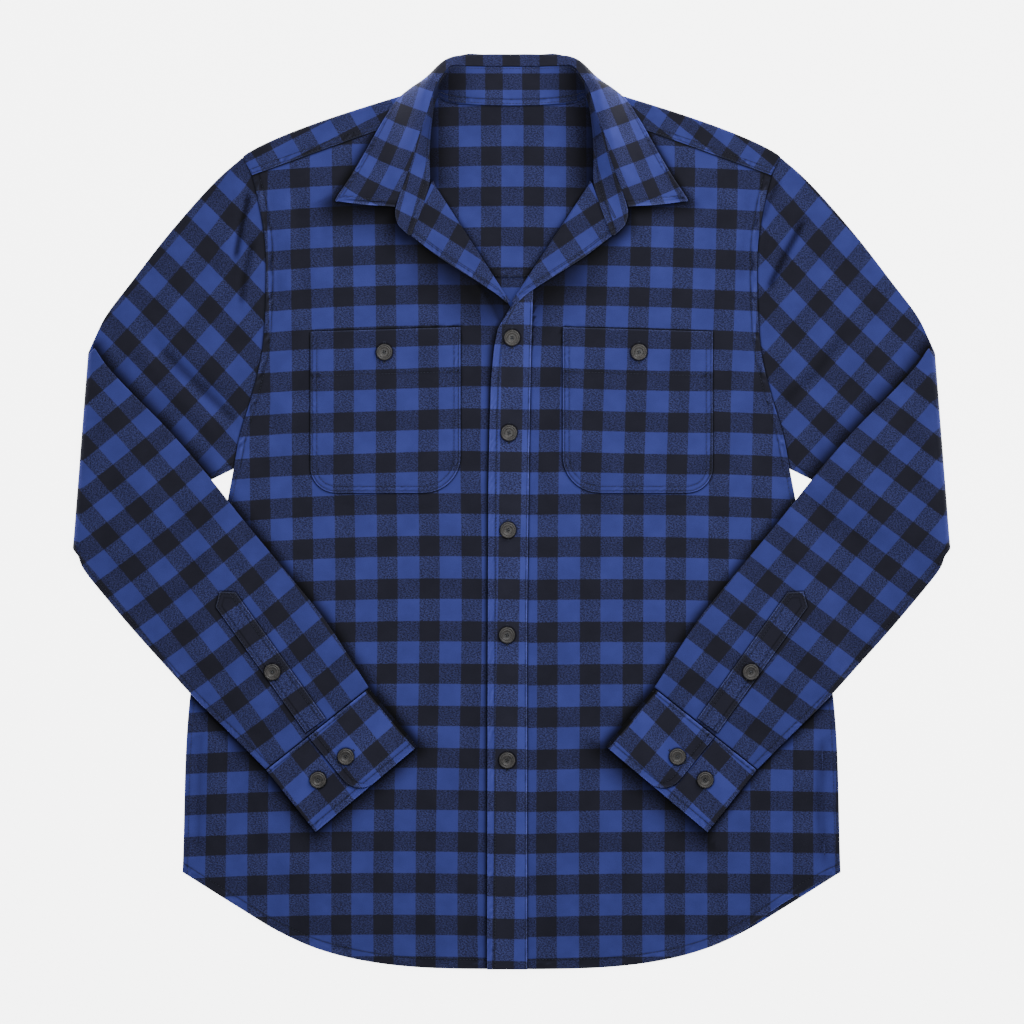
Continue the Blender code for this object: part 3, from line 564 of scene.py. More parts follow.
def front_rise(x: Array, y: Array, side: Side) -> Array:
    """Height of the underside of a front, as packed."""
    raised = PLY + PLY * step((y - RAISED_FROM) / RAISED_OVER)
    air = puff(x, y)
    rise = raised + air - np.minimum(trough(x, y), TROUGH_LIMIT * air)
    if side is Side.LEFT:
        rise = rise + PLY * (1 - step((x - LAP_EDGE) / LAP_FADE)) * (1 - step((y - OPENING_Y) / LAP_TOP_FADE))
    return rise


def front_under(x: Array, y: Array, side: Side) -> Array:
    """Height of the underside of a front with its creases."""
    return front_rise(x, y, side) + body_folds(x, y)[0]


def forearm_lift(x: Array, y: Array) -> Array:
    """Height of a forearm's underside."""
    off = np.minimum(
        beyond(x, y, UPPER_ARM[-1][2:4], (HALF_CHEST, ARMPIT_Y)),
        x - outer_edge(np.maximum(y, SIDE_CORNER[1])),
    )
    return GAP + (FOREARM_LIFT - GAP) * (1 - step(off / SAG_REACH))


def sleeve_swell(row: Array | float, rows: int, across: Array) -> Array:
    """How far a sleeve's upper ply rises at a ring, and a share of the way across it."""
    row = np.clip(row, 0, rows - 1)
    return (
        SLEEVE_PUFF
        * np.maximum(np.sin(math.pi * row / (rows - 1)), 0) ** 0.7
        * np.maximum(np.sin(math.pi * across), 0) ** 0.8
    )


forearm_rings = Curve([(i, *ring) for i, ring in enumerate(FOREARM)])
upper_arm_rings = Curve([(i, *ring) for i, ring in enumerate(UPPER_ARM)])


def forearm_place(x: Array, y: Array) -> tuple[Array, Array]:
    """The ring of a forearm that each place is on, and its share of the way across."""
    marks = np.linspace(0, len(FOREARM) - 1, 20 * len(FOREARM))
    rings = forearm_rings(marks)
    x, y = np.broadcast_arrays(np.asarray(x, float), np.asarray(y, float))
    along = unit(rings[:, 2:] - rings[:, :2])
    off = along[:, 0] * (y[..., None] - rings[:, 1]) - along[:, 1] * (x[..., None] - rings[:, 0])
    best = np.abs(off).argmin(axis=-1)
    ring = rings[best]
    run = ring[..., 2:] - ring[..., :2]
    share = ((x - ring[..., 0]) * run[..., 0] + (y - ring[..., 1]) * run[..., 1]) / (run**2).sum(-1)
    return marks[best], np.clip(share, 0, 1)


def forearm_top(x: Array, y: Array) -> Array:
    """Height of a forearm's upper face."""
    mark, across = forearm_place(x, y)
    return forearm_lift(np.asarray(x), np.asarray(y)) + PLY + WALL + sleeve_swell(mark, len(FOREARM), across)


@dataclass(frozen=True)
class Grain:
    """How the check lies on a piece of cloth.

    Attributes:
        at: the middle of a blue square, as (x, y).
        columns: the way that the columns run, in degrees.
        rows: the way that the rows run, in degrees.
        repeat: the check's repeat across its columns and across its rows.
        sweep: how far the columns curve 100 away from their middle.
        droop: how far the rows do.
    """

    at: tuple[float, float]
    columns: float
    rows: float
    repeat: tuple[float, float]
    sweep: float = 0.0
    droop: float = 0.0

    def threads(self, points: Array) -> Array:
        """Check coordinates at places, in repeats."""
        off_x, off_y = points[..., 0] - self.at[0], points[..., 1] - self.at[1]
        column, row = math.radians(self.columns), math.radians(self.rows)
        across = off_x * math.sin(column) - off_y * math.cos(column)
        along = off_y * math.cos(row) - off_x * math.sin(row)
        return stack(
            (across + self.sweep * (along / 100) ** 2) / self.repeat[0],
            (along + self.droop * (across / 100) ** 2) / self.repeat[1],
        )


@dataclass(frozen=True)
class GrainChain:
    """Grains that follow one another down a piece, blended from each to the next.

    Attributes:
        grains: (y, grain), from the lowest y up.
    """

    grains: tuple[tuple[float, Grain], ...]

    def threads(self, points: Array) -> Array:
        """Check coordinates at places, in repeats."""
        found = self.grains[0][1].threads(points)
        shift = np.zeros(2)
        for (low, below), (high, above) in zip(self.grains, self.grains[1:]):
            middle = np.array([(below.at[0] + above.at[0]) / 2, (low + high) / 2])
            shift = shift + np.round(below.threads(middle) - above.threads(middle))
            share = step((points[..., 1:2] - low) / (high - low))
            found = mix(found, above.threads(points) + shift, share)
        return found


@dataclass
class Shell:
    """A closed shell of cloth, from a grid of places on its outer face.

    Attributes:
        outer: places on the outer face, as rows x columns x (x, y, z).
        inner: the place of each on the inner face.
        threads: check coordinates, as rows x columns x 2.
        wear: how far each place is rubbed pale and painted with a highlight, up to 1, or painted with shade in a
            channel, a crease or a seam's slubs, down to -1.
        clear: how far each place is from what lies on it, in reaches of the shade painted beside it, and below 0
            under it.
        around: whether a row closes into a ring.
        other: check coordinates that take over where a face is in other_faces.
        other_faces: true for those faces, as (rows - 1) x faces in a row.
    """

    outer: Array
    inner: Array
    threads: Array
    wear: Array
    clear: Array | float = 9.0
    around: bool = False
    other: Array | None = None
    other_faces: Array | None = None

    def faces(self) -> tuple[Array, Array]:
        """Corners of every face, and whether it takes the other check coordinates."""
        rows, columns = self.outer.shape[:2]
        number = np.arange(rows * columns).reshape(rows, columns)
        right = np.roll(number, -1, axis=1) if self.around else number[:, 1:]
        left = number if self.around else number[:, :-1]
        quads = np.stack([left[:-1], right[:-1], right[1:], left[1:]], axis=-1)
        taken = np.zeros(quads.shape[:2], bool) if self.other_faces is None else self.other_faces
        count = rows * columns
        sheets = [quads.reshape(-1, 4)[:, ::-1], quads.reshape(-1, 4) + count]
        marks = [taken.ravel(), taken.ravel()]
        rims = [(left[0], right[0], taken[0], False), (left[-1], right[-1], taken[-1], True)]
        if not self.around:
            rims.append((number[:-1, 0], number[1:, 0], taken[:, 0], True))
            rims.append((number[:-1, -1], number[1:, -1], taken[:, -1], False))
        for a, b, mark, flip in rims:
            quad = np.stack([a, b, b + count, a + count], axis=-1)
            sheets.append(quad[:, ::-1] if flip else quad)
            marks.append(mark)
        return np.concatenate(sheets), np.concatenate(marks)


def relief(shape: Array, height: Array) -> Array:
    """The outer face of a ply, moved along its own normals by some heights."""
    return shape + grid_normals(shape) * height[..., None]


def both_faces(middle: Array, normals: Array, wall: float, height: Array) -> tuple[Array, Array]:
    """The two faces of a wall about its middle, the outer one moved out by some heights."""
    half = (wall - THIN) / 2
    return middle + normals * (half + height[..., None]), middle - normals * half


def turned_edge(off: Array, at: float, fold: float, fade: float = 1.6) -> Array:
    """What an edge that is turned in as far as a line of stitches adds to the thickness."""
    return fold * (1 - step((off - at) / fade)) * step(off / 0.8)


def grid_normals(points: Array, around: bool = False) -> Array:
    """The way out of a grid of places, at each of them, towards +Z where it lies flat."""
    down = np.gradient(points, axis=0)
    if around:
        across = (np.roll(points, -1, axis=1) - np.roll(points, 1, axis=1)) / 2
    else:
        across = np.gradient(points, axis=1)
    return unit(np.cross(down, across))


def rolled(distance: Array, radius: float) -> Array:
    """How far an edge that is rolled over sinks, at distances from it."""
    inside = np.clip(distance / radius, 0, 1)
    return -radius * (1 - np.sqrt(np.clip(1 - (1 - inside) ** 2, 0, 1)))


def channel(distance: Array, at: float, depth: float, width: float = 0.8) -> Array:
    """The channel that a line of stitches pulls in the cloth, at distances from an edge."""
    return -depth * bell((distance - at) / width)


def edge_wear_and_painted_light(distance: Array, pale: float, *seams: float, dark: float = 0.6, width: float = 0.9) -> Array:
    """How an edge is rubbed pale and painted with a highlight, and the painted shade in the channels of its
    stitches.

    Args:
        distance: distances from the edge.
        pale: how pale the edge itself is, as wear and a painted highlight.
        seams: how far in each line of stitches is.
        dark: how dark the painted shade in a channel is.
        width: how far a channel reaches to either side.

    Returns:
        The wear and painted light at each place.
    """
    wear = pale * bell(distance / 0.8)
    for at in seams:
        wear = wear - dark * bell((distance - at) / width)
    return wear


def painted_seam_mottle(distance: Array, along: Array, at: float, reach: float, pitch: float = 4.2) -> Array:
    """Painted highlight and painted shade on the slubs where the plies of a seam pull against each other.

    Args:
        distance: distances from the edge.
        along: distances covered along it.
        at: how far in the middle of the seam is.
        reach: how far it reaches to either side.
        pitch: how far apart the slubs are.

    Returns:
        The painted highlight and shade at each place.
    """
    phase = 2 * math.pi * (along + 0.5 * distance) / pitch
    wave = np.sin(phase + 1.7 * np.sin(phase * 0.23)) * (0.55 + 0.45 * np.sin(phase * 0.13 + 2))
    return 0.34 * wave * bell((distance - at) / reach)


def painted_shade_clearance(*parts: tuple[Array, float]) -> Array:
    """How far places are from what lies on them: the least of some distances, each over the reach of the shade
    painted beside it.
    """
    return np.min(np.broadcast_arrays(*(distance / reach for distance, reach in parts)), axis=0)


def pucker(distance: Array, along: Array, at: float, height: float, pitch: float) -> Array:
    """The uneven gathers beside a line of stitches.

    Args:
        distance: distances from the edge.
        along: distances covered along it.
        at: how far in the stitches are.
        height: how high the gathers are.
        pitch: how far apart.

    Returns:
        The height at each place.
    """
    phase = 2 * math.pi * along / pitch
    wave = np.sin(phase + 1.3 * np.sin(phase * 0.37)) * (0.6 + 0.4 * np.sin(phase * 0.21 + 1))
    return height * wave * bell((distance - at) / 5)


def smoothed_noise(x: Array, y: Array, pitch: float, seed: float) -> Array:
    """An even, slowly changing unevenness between about -1 and 1."""
    value = np.zeros(np.broadcast(x, y).shape)
    for i, (turn, size) in enumerate(((0.3, 1), (1.4, 1.31), (2.3, 0.83), (2.9, 1.72))):
        angle = turn + seed
        phase = 2 * math.pi * (x * math.cos(angle) + y * math.sin(angle)) / (pitch * size)
        value += np.sin(phase + 2.1 * seed + i + 0.8 * np.sin(0.43 * phase + i))
    return value / 4


def add_piece(data: Mesh, finish: Material, slot: str, *nodes: str) -> Object:
    """Puts a mesh in the scene as a piece of the shirt.

    Args:
        data: the mesh.
        finish: its material.
        slot: not used.
        nodes: the CAD nodes that it stands for.

    Returns:
        The piece.
    """
    data.shade_smooth()
    data.materials.append(finish)
    piece = bpy.data.objects.new(data.name, data)
    bpy.context.scene.collection.objects.link(piece)
    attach(piece, "root")
    if nodes:
        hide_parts(*nodes)
    LOG.info("%s: %d faces", data.name, len(data.polygons))
    return piece


def lay_cloth(node: str, finish: Material, slot: str, *shells: Shell) -> Object:
    """Makes a piece of cloth from its shells, in place of the CAD node that its name starts with.

    Args:
        node: the CAD node.
        finish: its material.
        slot: handed on to add_piece.
        shells: its closed shells.

    Returns:
        The piece.
    """
    points, faces, threads, wear, clear = [], [], [], [], []
    count = 0
    for shell in shells:
        quads, taken = shell.faces()
        places = np.concatenate([shell.outer.reshape(-1, 3), shell.inner.reshape(-1, 3)])
        corners = np.tile(shell.threads.reshape(-1, 2), (2, 1))[quads]
        if shell.other is not None:
            corners = np.where(taken[:, None, None], np.tile(shell.other.reshape(-1, 2), (2, 1))[quads], corners)
        points.append(places)
        faces.append(quads + count)
        threads.append(corners.reshape(-1, 2))
        wear.append(np.tile(shell.wear.ravel(), 2))
        clear.append(np.tile(np.broadcast_to(shell.clear, shell.wear.shape).ravel(), 2))
        count += len(places)
    points, faces = np.concatenate(points), np.concatenate(faces)
    data = bpy.data.meshes.new(node + "_cloth")
    data.vertices.add(len(points))
    data.vertices.foreach_set("co", (points * MM).astype(np.float32).ravel())
    data.loops.add(faces.size)
    data.loops.foreach_set("vertex_index", faces.astype(np.int32).ravel())
    data.polygons.add(len(faces))
    data.polygons.foreach_set("loop_start", np.arange(0, faces.size, 4, dtype=np.int32))
    data.polygons.foreach_set("loop_total", np.full(len(faces), 4, np.int32))
    data.update(calc_edges=True)
    data.uv_layers.new(name="threads")
    data.uv_layers["threads"].data.foreach_set("uv", np.concatenate(threads).astype(np.float32).ravel())
    for label, values in (("wear", wear), ("clear", clear)):
        data.attributes.new(label, "FLOAT", "POINT")
        data.attributes[label].data.foreach_set("value", np.concatenate(values).astype(np.float32))
    piece = add_piece(data, finish, slot, node)
    data.set_sharp_from_angle(angle=math.radians(60))
    return piece


class Thread:
    """A named piece of sewing: many stitches in one mesh."""

    SIDES = 4
    RINGS = ((0, 0.25, -0.16), (0.25, 0.9, 0.05), (0.75, 0.9, 0.05), (1, 0.25, -0.16))
    STITCH, SPACE, WIDTH = 2.1, 0.75, 0.62
    LOWEST = 0.02

    def __init__(self, name: str, finish: Material, slot: str) -> None:
        """Starts a piece of sewing with its finish, and keeps a slot name to hand on to add_piece."""
        self.name, self.finish, self.slot = name, finish, slot
        self.points: list[Array] = []
        self.faces: list[Array] = []
        self.count = 0

    def sew(self, *paths: Array) -> None:
        """Adds a line of stitches along each path, a row of places (x, y, z) on the cloth."""
        for path in paths:
            marks = lengths(path)
            keep = np.concatenate([[True], np.diff(marks) > 1e-6])
            path, marks = path[keep], marks[keep]
            count = int(marks[-1] // (self.STITCH + self.SPACE))
            if count < 1:
                continue
            starts = (np.arange(count) + 0.15) * marks[-1] / count
            ends = starts + self.STITCH
            self.add_stitches(*(stack(*(np.interp(at, marks, row) for row in path.T)) for at in (starts, ends)))

    def add_stitches(self, first: Array, last: Array, width: float = WIDTH) -> None:
        """Adds stitches.

        Args:
            first: where each starts on the cloth, as rows of (x, y, z).
            last: where each ends.
            width: how wide they are.
        """
        along = last - first
        level = unit(np.cross(along, (0, 0, 1)))
        up = unit(np.cross(level, along))
        rings = []
        for share, girth, rise in self.RINGS:
            middle = first + along * share + up * (rise + 0.06)
            for i in range(self.SIDES):
                angle = 2 * math.pi * (i + 0.5) / self.SIDES
                rings.append(middle + (level * math.cos(angle) + up * math.sin(angle)) * girth * width / 2)
        points = np.stack(rings, axis=1)
        number = np.arange(len(self.RINGS) * self.SIDES).reshape(-1, self.SIDES)
        after = np.roll(number, -1, axis=1)
        quads = np.stack([number[:-1], after[:-1], after[1:], number[1:]], axis=-1).reshape(-1, 4)
        quads = np.concatenate([quads, number[:1, ::-1], number[-1:]])
        offsets = self.count + number.size * np.arange(len(points))[:, None, None]
        self.points.append(points.reshape(-1, 3))
        self.faces.append((quads + offsets).reshape(-1, 4))
        self.count += number.size * len(points)

    def build(self) -> Object:
        """Makes the piece."""
        points, faces = np.concatenate(self.points), np.concatenate(self.faces)
        points[:, 2] = np.maximum(points[:, 2], self.LOWEST)
        data = bpy.data.meshes.new(self.name)
        data.from_pydata((points * MM).tolist(), [], faces.tolist())
        return add_piece(data, self.finish, self.slot)




class Graph:
    """Shader nodes in one tree, wired up as they are made."""

    def __init__(self, tree: bpy.types.NodeTree) -> None:
        """Takes the tree to fill."""
        self.tree = tree

    def node(self, kind: str, settings: dict | None = None, **inputs: object) -> Node:
        """Adds a node.

        Args:
            kind: the node's type, without its ShaderNode prefix.
            settings: its own properties.
            inputs: a socket or a value for each of its inputs, by name with _ for a space.

        Returns:
            The node.
        """
        made = self.tree.nodes.new("ShaderNode" + kind)
        for key, value in (settings or {}).items():
            setattr(made, key, value)
        for key, value in inputs.items():
            self.feed(made.inputs[key.replace("_", " ")], value)
        return made

    def feed(self, socket: Socket, value: object) -> None:
        """Links a socket to another one, or gives it a value."""
        if isinstance(value, Socket):
            self.tree.links.new(value, socket)
        else:
            socket.default_value = value

    def maths(self, operation: str, *values: object, kind: str = "Math") -> Socket:
        """The result of a sum of numbers, or of vectors where its kind is VectorMath."""
        made = self.node(kind, {"operation": operation})
        for socket, value in zip(made.inputs, values):
            self.feed(socket, value)
        return made.outputs[0]

    def scaled(self, vector: object, by: object) -> Socket:
        """A vector made longer."""
        return self.node("VectorMath", {"operation": "SCALE"}, Vector=vector, Scale=by).outputs[0]

    def mapped(self, name: str) -> Socket:
        """The values that a mesh carries for its places."""
        return self.node("Attribute", {"attribute_name": name}).outputs["Fac"]

    def ramp(self, value: object, low: float, high: float, to_low: float = 0.0, to_high: float = 1.0) -> object:
        """A value smoothly stretched from one range onto another."""
        ends = {"From_Min": low, "From_Max": high, "To_Min": to_low, "To_Max": to_high}
        made = self.node("MapRange", {"interpolation_type": "SMOOTHSTEP"}, Value=value, **ends)
        return made.outputs[0]

    def blend(self, share: object, a: object, b: object) -> Socket:
        """Two colours mixed."""
        made = self.node("Mix", {"data_type": "RGBA"})
        for index, value in ((0, share), (6, a), (7, b)):
            self.feed(made.inputs[index], value)
        return made.outputs[2]

    def noise(self, vector: object, scale: float, detail: float = 2.0, rough: float = 0.5) -> Socket:
        """A soft noise between 0 and 1."""
        made = self.node("TexNoise", None, Vector=vector, Scale=scale, Detail=detail, Roughness=rough)
        return made.outputs["Fac"]


def node_group(name: str, inputs: Sequence[tuple[str, str, object]], outputs: Sequence[tuple[str, str]]) -> tuple:
    """A shader node group with its sockets.

    Args:
        name: the group's name.
        inputs: the name, socket type and default of each input.
        outputs: the name and socket type of each output.

    Returns:
        The group, its graph, its input sockets by name and its output node.
    """
    tree = bpy.data.node_groups.new(name, "ShaderNodeTree")
    for label, kind, default in inputs:
        socket = tree.interface.new_socket(label, in_out="INPUT", socket_type=kind)
        if default is not None:
            socket.default_value = default
    for label, kind in outputs:
        tree.interface.new_socket(label, in_out="OUTPUT", socket_type=kind)
    entry, leave = tree.nodes.new("NodeGroupInput"), tree.nodes.new("NodeGroupOutput")
    return tree, Graph(tree), {socket.name: socket for socket in entry.outputs}, leave


def new_material(name: str, **constants: object) -> tuple[Material, Graph, Callable]:
    """A new material.

    Args:
        name: its name.
        constants: what is the same all over, by the shader's sockets with _ for a space.

    Returns:
        The material, its graph, and a function that feeds the shader's other sockets.
    """
    made = bpy.data.materials.new(name)
    made.use_nodes = True
    graph = Graph(made.node_tree)
    shader = made.node_tree.nodes["Principled BSDF"]

    def feed(**values: object) -> None:
        """Feeds sockets of the shader."""
        for key, value in values.items():
            graph.feed(shader.inputs[key.replace("_", " ")], value)

    feed(**constants)
    return made, graph, feed


FLOAT, COLOUR, VECTOR = "NodeSocketFloat", "NodeSocketColor", "NodeSocketVector"

# Yarn colours: where both ways are blue, where the rows are and where the columns are, as the darker and
# the lighter of their specks, and where neither is
BLUE = (0.0435, 0.0535, 0.250, 1.0)
ROW_HEATHER = ((0.0130, 0.0128, 0.034, 1.0), (0.0460, 0.0550, 0.188, 1.0))
COLUMN_HEATHER = ((0.0110, 0.0110, 0.027, 1.0), (0.0370, 0.0430, 0.142, 1.0))
CHARCOAL = (0.0148, 0.0150, 0.0262, 1.0)
BLUE_HALF = 0.26  # half the width of a blue stripe, in repeats
REPEAT = 38.0


def check_group() -> bpy.types.NodeTree:
    """The woven check, with the heather where a blue and a dark stripe cross, and the wear, painted highlight and
    painted shade that the mesh carries.
    """
    tree, graph, sockets, leave = node_group(
        "flannel_check",
        [("Threads", VECTOR, None), ("Wear", FLOAT, 0.0), ("Clear", FLOAT, 9.0), ("Lightness", FLOAT, 1.0)],
        [("Color", COLOUR), ("Height", FLOAT), ("Roughness", FLOAT)],
    )
    scaled = graph.scaled(sockets["Threads"], REPEAT)
    sway = graph.node("TexNoise", None, Vector=scaled, Scale=0.22, Detail=1.0).outputs["Color"]
    sway = graph.maths("SUBTRACT", sway, (0.5, 0.5, 0.5), kind="VectorMath")
    swayed = graph.maths("MULTIPLY_ADD", sway, (0.007, 0.007, 0.0), sockets["Threads"], kind="VectorMath")
    parts = graph.node("SeparateXYZ", None, Vector=swayed)
    stripes = []
    for axis in ("X", "Y"):
        off = graph.maths("SUBTRACT", parts.outputs[axis], graph.maths("ROUND", parts.outputs[axis]))
        stripes.append(graph.ramp(graph.maths("ABSOLUTE", off), BLUE_HALF - 0.010, BLUE_HALF + 0.010, 1.0, 0.0))
    column, row = stripes

    slant = graph.node("Mapping", None, Vector=scaled, Rotation=(0, 0, 0.9), Scale=(0.72, 1.25, 1)).outputs[0]
    worms = graph.noise(slant, 0.85, 3.0, 0.62)
    specks = graph.noise(scaled, 1.5, 2.0, 0.6)
    worms = graph.maths("ADD", graph.maths("MULTIPLY", worms, 0.6), graph.maths("MULTIPLY", specks, 0.4))
    speckle = graph.ramp(worms, 0.42, 0.58)
    row_mixed, column_mixed = graph.blend(speckle, *ROW_HEATHER), graph.blend(speckle, *COLUMN_HEATHER)
    with_rows = graph.blend(row, CHARCOAL, row_mixed)
    with_columns = graph.blend(row, column_mixed, BLUE)
    cloth = graph.blend(column, with_rows, with_columns)

    patchy = graph.noise(scaled, 0.045, 3.0, 0.5)
    tone = graph.ramp(patchy, 0.25, 0.75, 0.90, 1.10)
    fine = graph.ramp(graph.noise(scaled, 1.8, 2.0, 0.6), 0.3, 0.7, 0.88, 1.12)
    # Painted light and shade: each material's own lightness makes the same check lighter or darker piece by piece.
    tone = graph.maths("MULTIPLY", graph.maths("MULTIPLY", tone, fine), sockets["Lightness"])
    toned = graph.scaled(cloth, tone)
    # Wear and painted highlight: the check turns paler where the mesh carries values above 0.
    ragged = graph.ramp(graph.noise(scaled, 0.9, 2.0, 0.6), 0.30, 0.62, 0.35, 1.0)
    wear_and_highlight_share = graph.maths("MULTIPLY", sockets["Wear"], ragged)
    wear_and_highlight_share.node.use_clamp = True
    pale = graph.maths("MULTIPLY_ADD", toned, (2.05, 1.95, 1.75), (0.013, 0.019, 0.048), kind="VectorMath")
    # Painted shade: the colour darkens towards the edges of what lies on the cloth, over the distances that the
    # mesh carries.
    apart = graph.maths("MAXIMUM", sockets["Clear"], 0.0)
    shade = graph.maths("EXPONENT", graph.maths("MULTIPLY", graph.maths("MULTIPLY", apart, apart), -1.0))
    shade = graph.maths("SUBTRACT", 1.0, graph.maths("MULTIPLY", shade, 0.9))
    # Painted shade in the channels and the creases' troughs, where the mesh carries values below 0, together with
    # the painted shade beside what lies on the cloth.
    painted_darkening = graph.maths("MULTIPLY", graph.ramp(sockets["Wear"], -1.0, 0.0, 0.12, 1.0), shade)
    graph.feed(leave.inputs["Color"], graph.scaled(graph.blend(wear_and_highlight_share, toned, pale), painted_darkening))

    split = graph.node("SeparateXYZ", None, Vector=scaled)
    slope = graph.maths("ADD", split.outputs["X"], split.outputs["Y"])
    twill = graph.maths("MULTIPLY", graph.maths("SINE", graph.maths("MULTIPLY", slope, 2 * math.pi / 0.9)), 0.22)
    nap = graph.noise(scaled, 1.9, 3.0, 0.65)
    pile = graph.noise(scaled, 0.35, 2.0, 0.5)
    height = graph.maths("ADD", twill, graph.maths("ADD", nap, pile))
    graph.feed(leave.inputs["Height"], height)
    graph.feed(leave.inputs["Roughness"], graph.ramp(nap, 0.3, 0.7, 0.82, 0.98))
    return tree


@dataclass(frozen=True)
class FlannelFinish:
    """Brushed cotton in the woven check.

    Attributes:
        name: the material's name.
        lightness: how much lighter or darker the same check is painted on its pieces than on the others, for how
            the light falls on them.
        sheen: how much light its nap catches.
        nap: how deep its surface is, in millimetres.
    """

    name: str
    lightness: float = 1.0
    sheen: float = 0.05
    nap: float = 0.16

    def build(self, check: bpy.types.NodeTree) -> Material:
        """Makes the material around the woven check."""
        made, graph, feed = new_material(
            self.name,
            Specular_IOR_Level=0.18,
            Sheen_Weight=self.sheen,
            Sheen_Roughness=0.45,
            Sheen_Tint=(0.62, 0.72, 1.0, 1.0),
        )
        threads = graph.node("UVMap", {"uv_map": "threads"}).outputs[0]
        inputs = {"Threads": threads, "Wear": graph.mapped("wear"), "Clear": graph.mapped("clear")}
        cloth = graph.node("Group", {"node_tree": check}, Lightness=self.lightness, **inputs).outputs
        bump = graph.node("Bump", None, Strength=0.55, Distance=self.nap * MM, Height=cloth["Height"])
        feed(Base_Color=cloth["Color"], Roughness=cloth["Roughness"], Normal=bump.outputs[0])
        return made


@dataclass(frozen=True)
class ThreadFinish:
    """Sewing thread.

    Attributes:
        name: the material's name.
        colour: its darker strands.
        light: its lighter ones.
    """

    name: str
    colour: tuple[float, float, float, float]
    light: tuple[float, float, float, float]

    def build(self) -> Material:
        """Makes the material."""
        made, graph, feed = new_material(self.name, Sheen_Weight=0.1)
        strands = graph.noise(graph.node("TexCoord").outputs["Object"], 2400.0, 2.0, 0.6)
        colour = graph.blend(graph.ramp(strands, 0.35, 0.65), self.colour, self.light)
        bump = graph.node("Bump", None, Strength=0.5, Distance=0.08 * MM, Height=strands)
        feed(Base_Color=colour, Normal=bump.outputs[0], Roughness=graph.ramp(strands, 0.3, 0.7, 0.6, 0.8))
        return made


@dataclass(frozen=True)
class ButtonFinish:
    """Dark polyester with a faint cloud in it, as horn has, and painted shade in its ring and round its rim."""

    name: str = "button_polyester"

    def build(self) -> Material:
        """Makes the material."""
        made, graph, feed = new_material(self.name, Specular_IOR_Level=0.5)
        place = graph.node("TexCoord").outputs["Object"]
        cloudy = graph.noise(place, 320.0, 3.0, 0.6)
        colour = graph.blend(graph.ramp(cloudy, 0.35, 0.65), (0.024, 0.022, 0.021, 1.0), (0.052, 0.047, 0.044, 1.0))
        # Painted shade: the colour is darkened nearly to black in the ring round the holes and at the rim.
        colour = graph.blend(graph.mapped("painted_groove_shade"), colour, (0.003, 0.003, 0.004, 1.0))
        fine = graph.noise(place, 1900.0, 2.0, 0.5)
        bump = graph.node("Bump", None, Strength=0.15, Distance=0.05 * MM, Height=fine)
        feed(Base_Color=colour, Normal=bump.outputs[0], Roughness=graph.ramp(cloudy, 0.3, 0.7, 0.34, 0.50))
        return made


@dataclass(frozen=True)
class FloorFinish:
    """A plain, pale, matt surface."""

    name: str = "floor"
    colour: tuple[float, float, float, float] = (0.9, 0.9, 0.9, 1.0)
    glow: float = 6.0

    def build(self) -> Material:
        """Makes the material."""
        return new_material(
            self.name,
            Base_Color=self.colour,
            Roughness=0.9,
            Specular_IOR_Level=0.1,
            Emission_Color=self.colour,
            Emission_Strength=self.glow,
        )[0]


@dataclass
class Finishes:
    """Every material of the shirt."""

    body: Material
    yoke: Material
    sleeve: Material
    trim: Material
    placket: Material
    thread: Material
    button_thread: Material
    button: Material

    @classmethod
    def make(cls) -> "Finishes":
        """Makes them all around one woven check."""
        check = check_group()
        return cls(
            # The same check, painted lighter or darker on each kind of piece for how the light falls on it.
            body=FlannelFinish("flannel_body_check", 0.94).build(check),
            yoke=FlannelFinish("flannel_yoke_check", 0.92).build(check),
            sleeve=FlannelFinish("flannel_sleeve_check", 0.88).build(check),
            trim=FlannelFinish("flannel_trim_check", 1.08, sheen=0.0).build(check),
            placket=FlannelFinish("flannel_placket_check", 1.17).build(check),
            thread=ThreadFinish("navy_thread", (0.006, 0.008, 0.018, 1.0), (0.016, 0.022, 0.05, 1.0)).build(),
            button_thread=ThreadFinish("button_thread", (0.03, 0.033, 0.04, 1.0), (0.10, 0.11, 0.13, 1.0)).build(),
            button=ButtonFinish().build(),
        )


def turned_half(grid: Array, side: Side) -> Array:
    """A grid made on the +X half, on its own side and with its columns still towards +X."""
    if side is Side.LEFT:
        return grid
    grid = grid[:, ::-1].copy()
    if grid.ndim == 3:
        grid[..., 0] *= -1
    return grid


FRONT_GRAIN = {
    Side.RIGHT: GrainChain((
        (-316, Grain((-172, -315.9), 89.48, 1.12, (37.84, 37.49), -1.08, 1.58)),
        (62, Grain((-169.8, 61.9), 89.88, 2.66, (37.93, 37.88), 0.21, 2)),
        (174, Grain((-170, 174), 90.71, 3.2, (38.09, 36.38), -0.06, 2.47)),
    )),
    Side.LEFT: GrainChain((
        (-316.7, Grain((50.5, -316.7), 89.95, 1.21, (38.51, 37.49), -0.39, 1.01)),
        (64, Grain((53, 63.9), 88.59, 0.37, (38.41, 37.91), -0.67, 1.6)),
        (176, Grain((56.4, 176), 87.6, -0.56, (38.45, 36.33), 1.29, 1.32)),
    )),
}
LAPEL_GRAIN = {
    Side.RIGHT: Grain((-39, 223.4), 61.7, -33.4, (34.2, 33.6), 0, 2.8),
    Side.LEFT: Grain((39.4, 223.7), 122.9, 35.4, (35.8, 32.9), 0.2, 4.3),
}
POCKET_GRAIN = {
    Side.RIGHT: Grain((-132, 62.1), 89.6, 1.85, (38.14, 37.63), 0.78),
    Side.LEFT: Grain((91.5, 62.5), 88.11, -1.56, (38.54, 37.46), 0.17, -1.28),
}
INNER_YOKE_GRAIN = Grain((-37.5, 338), 90.22, 1.35, (38.27, 36.34), 0.6, 3.12)
BACK_GRAIN = Grain((0.7, 192), 90, 0.5, (38.3, 37.9))
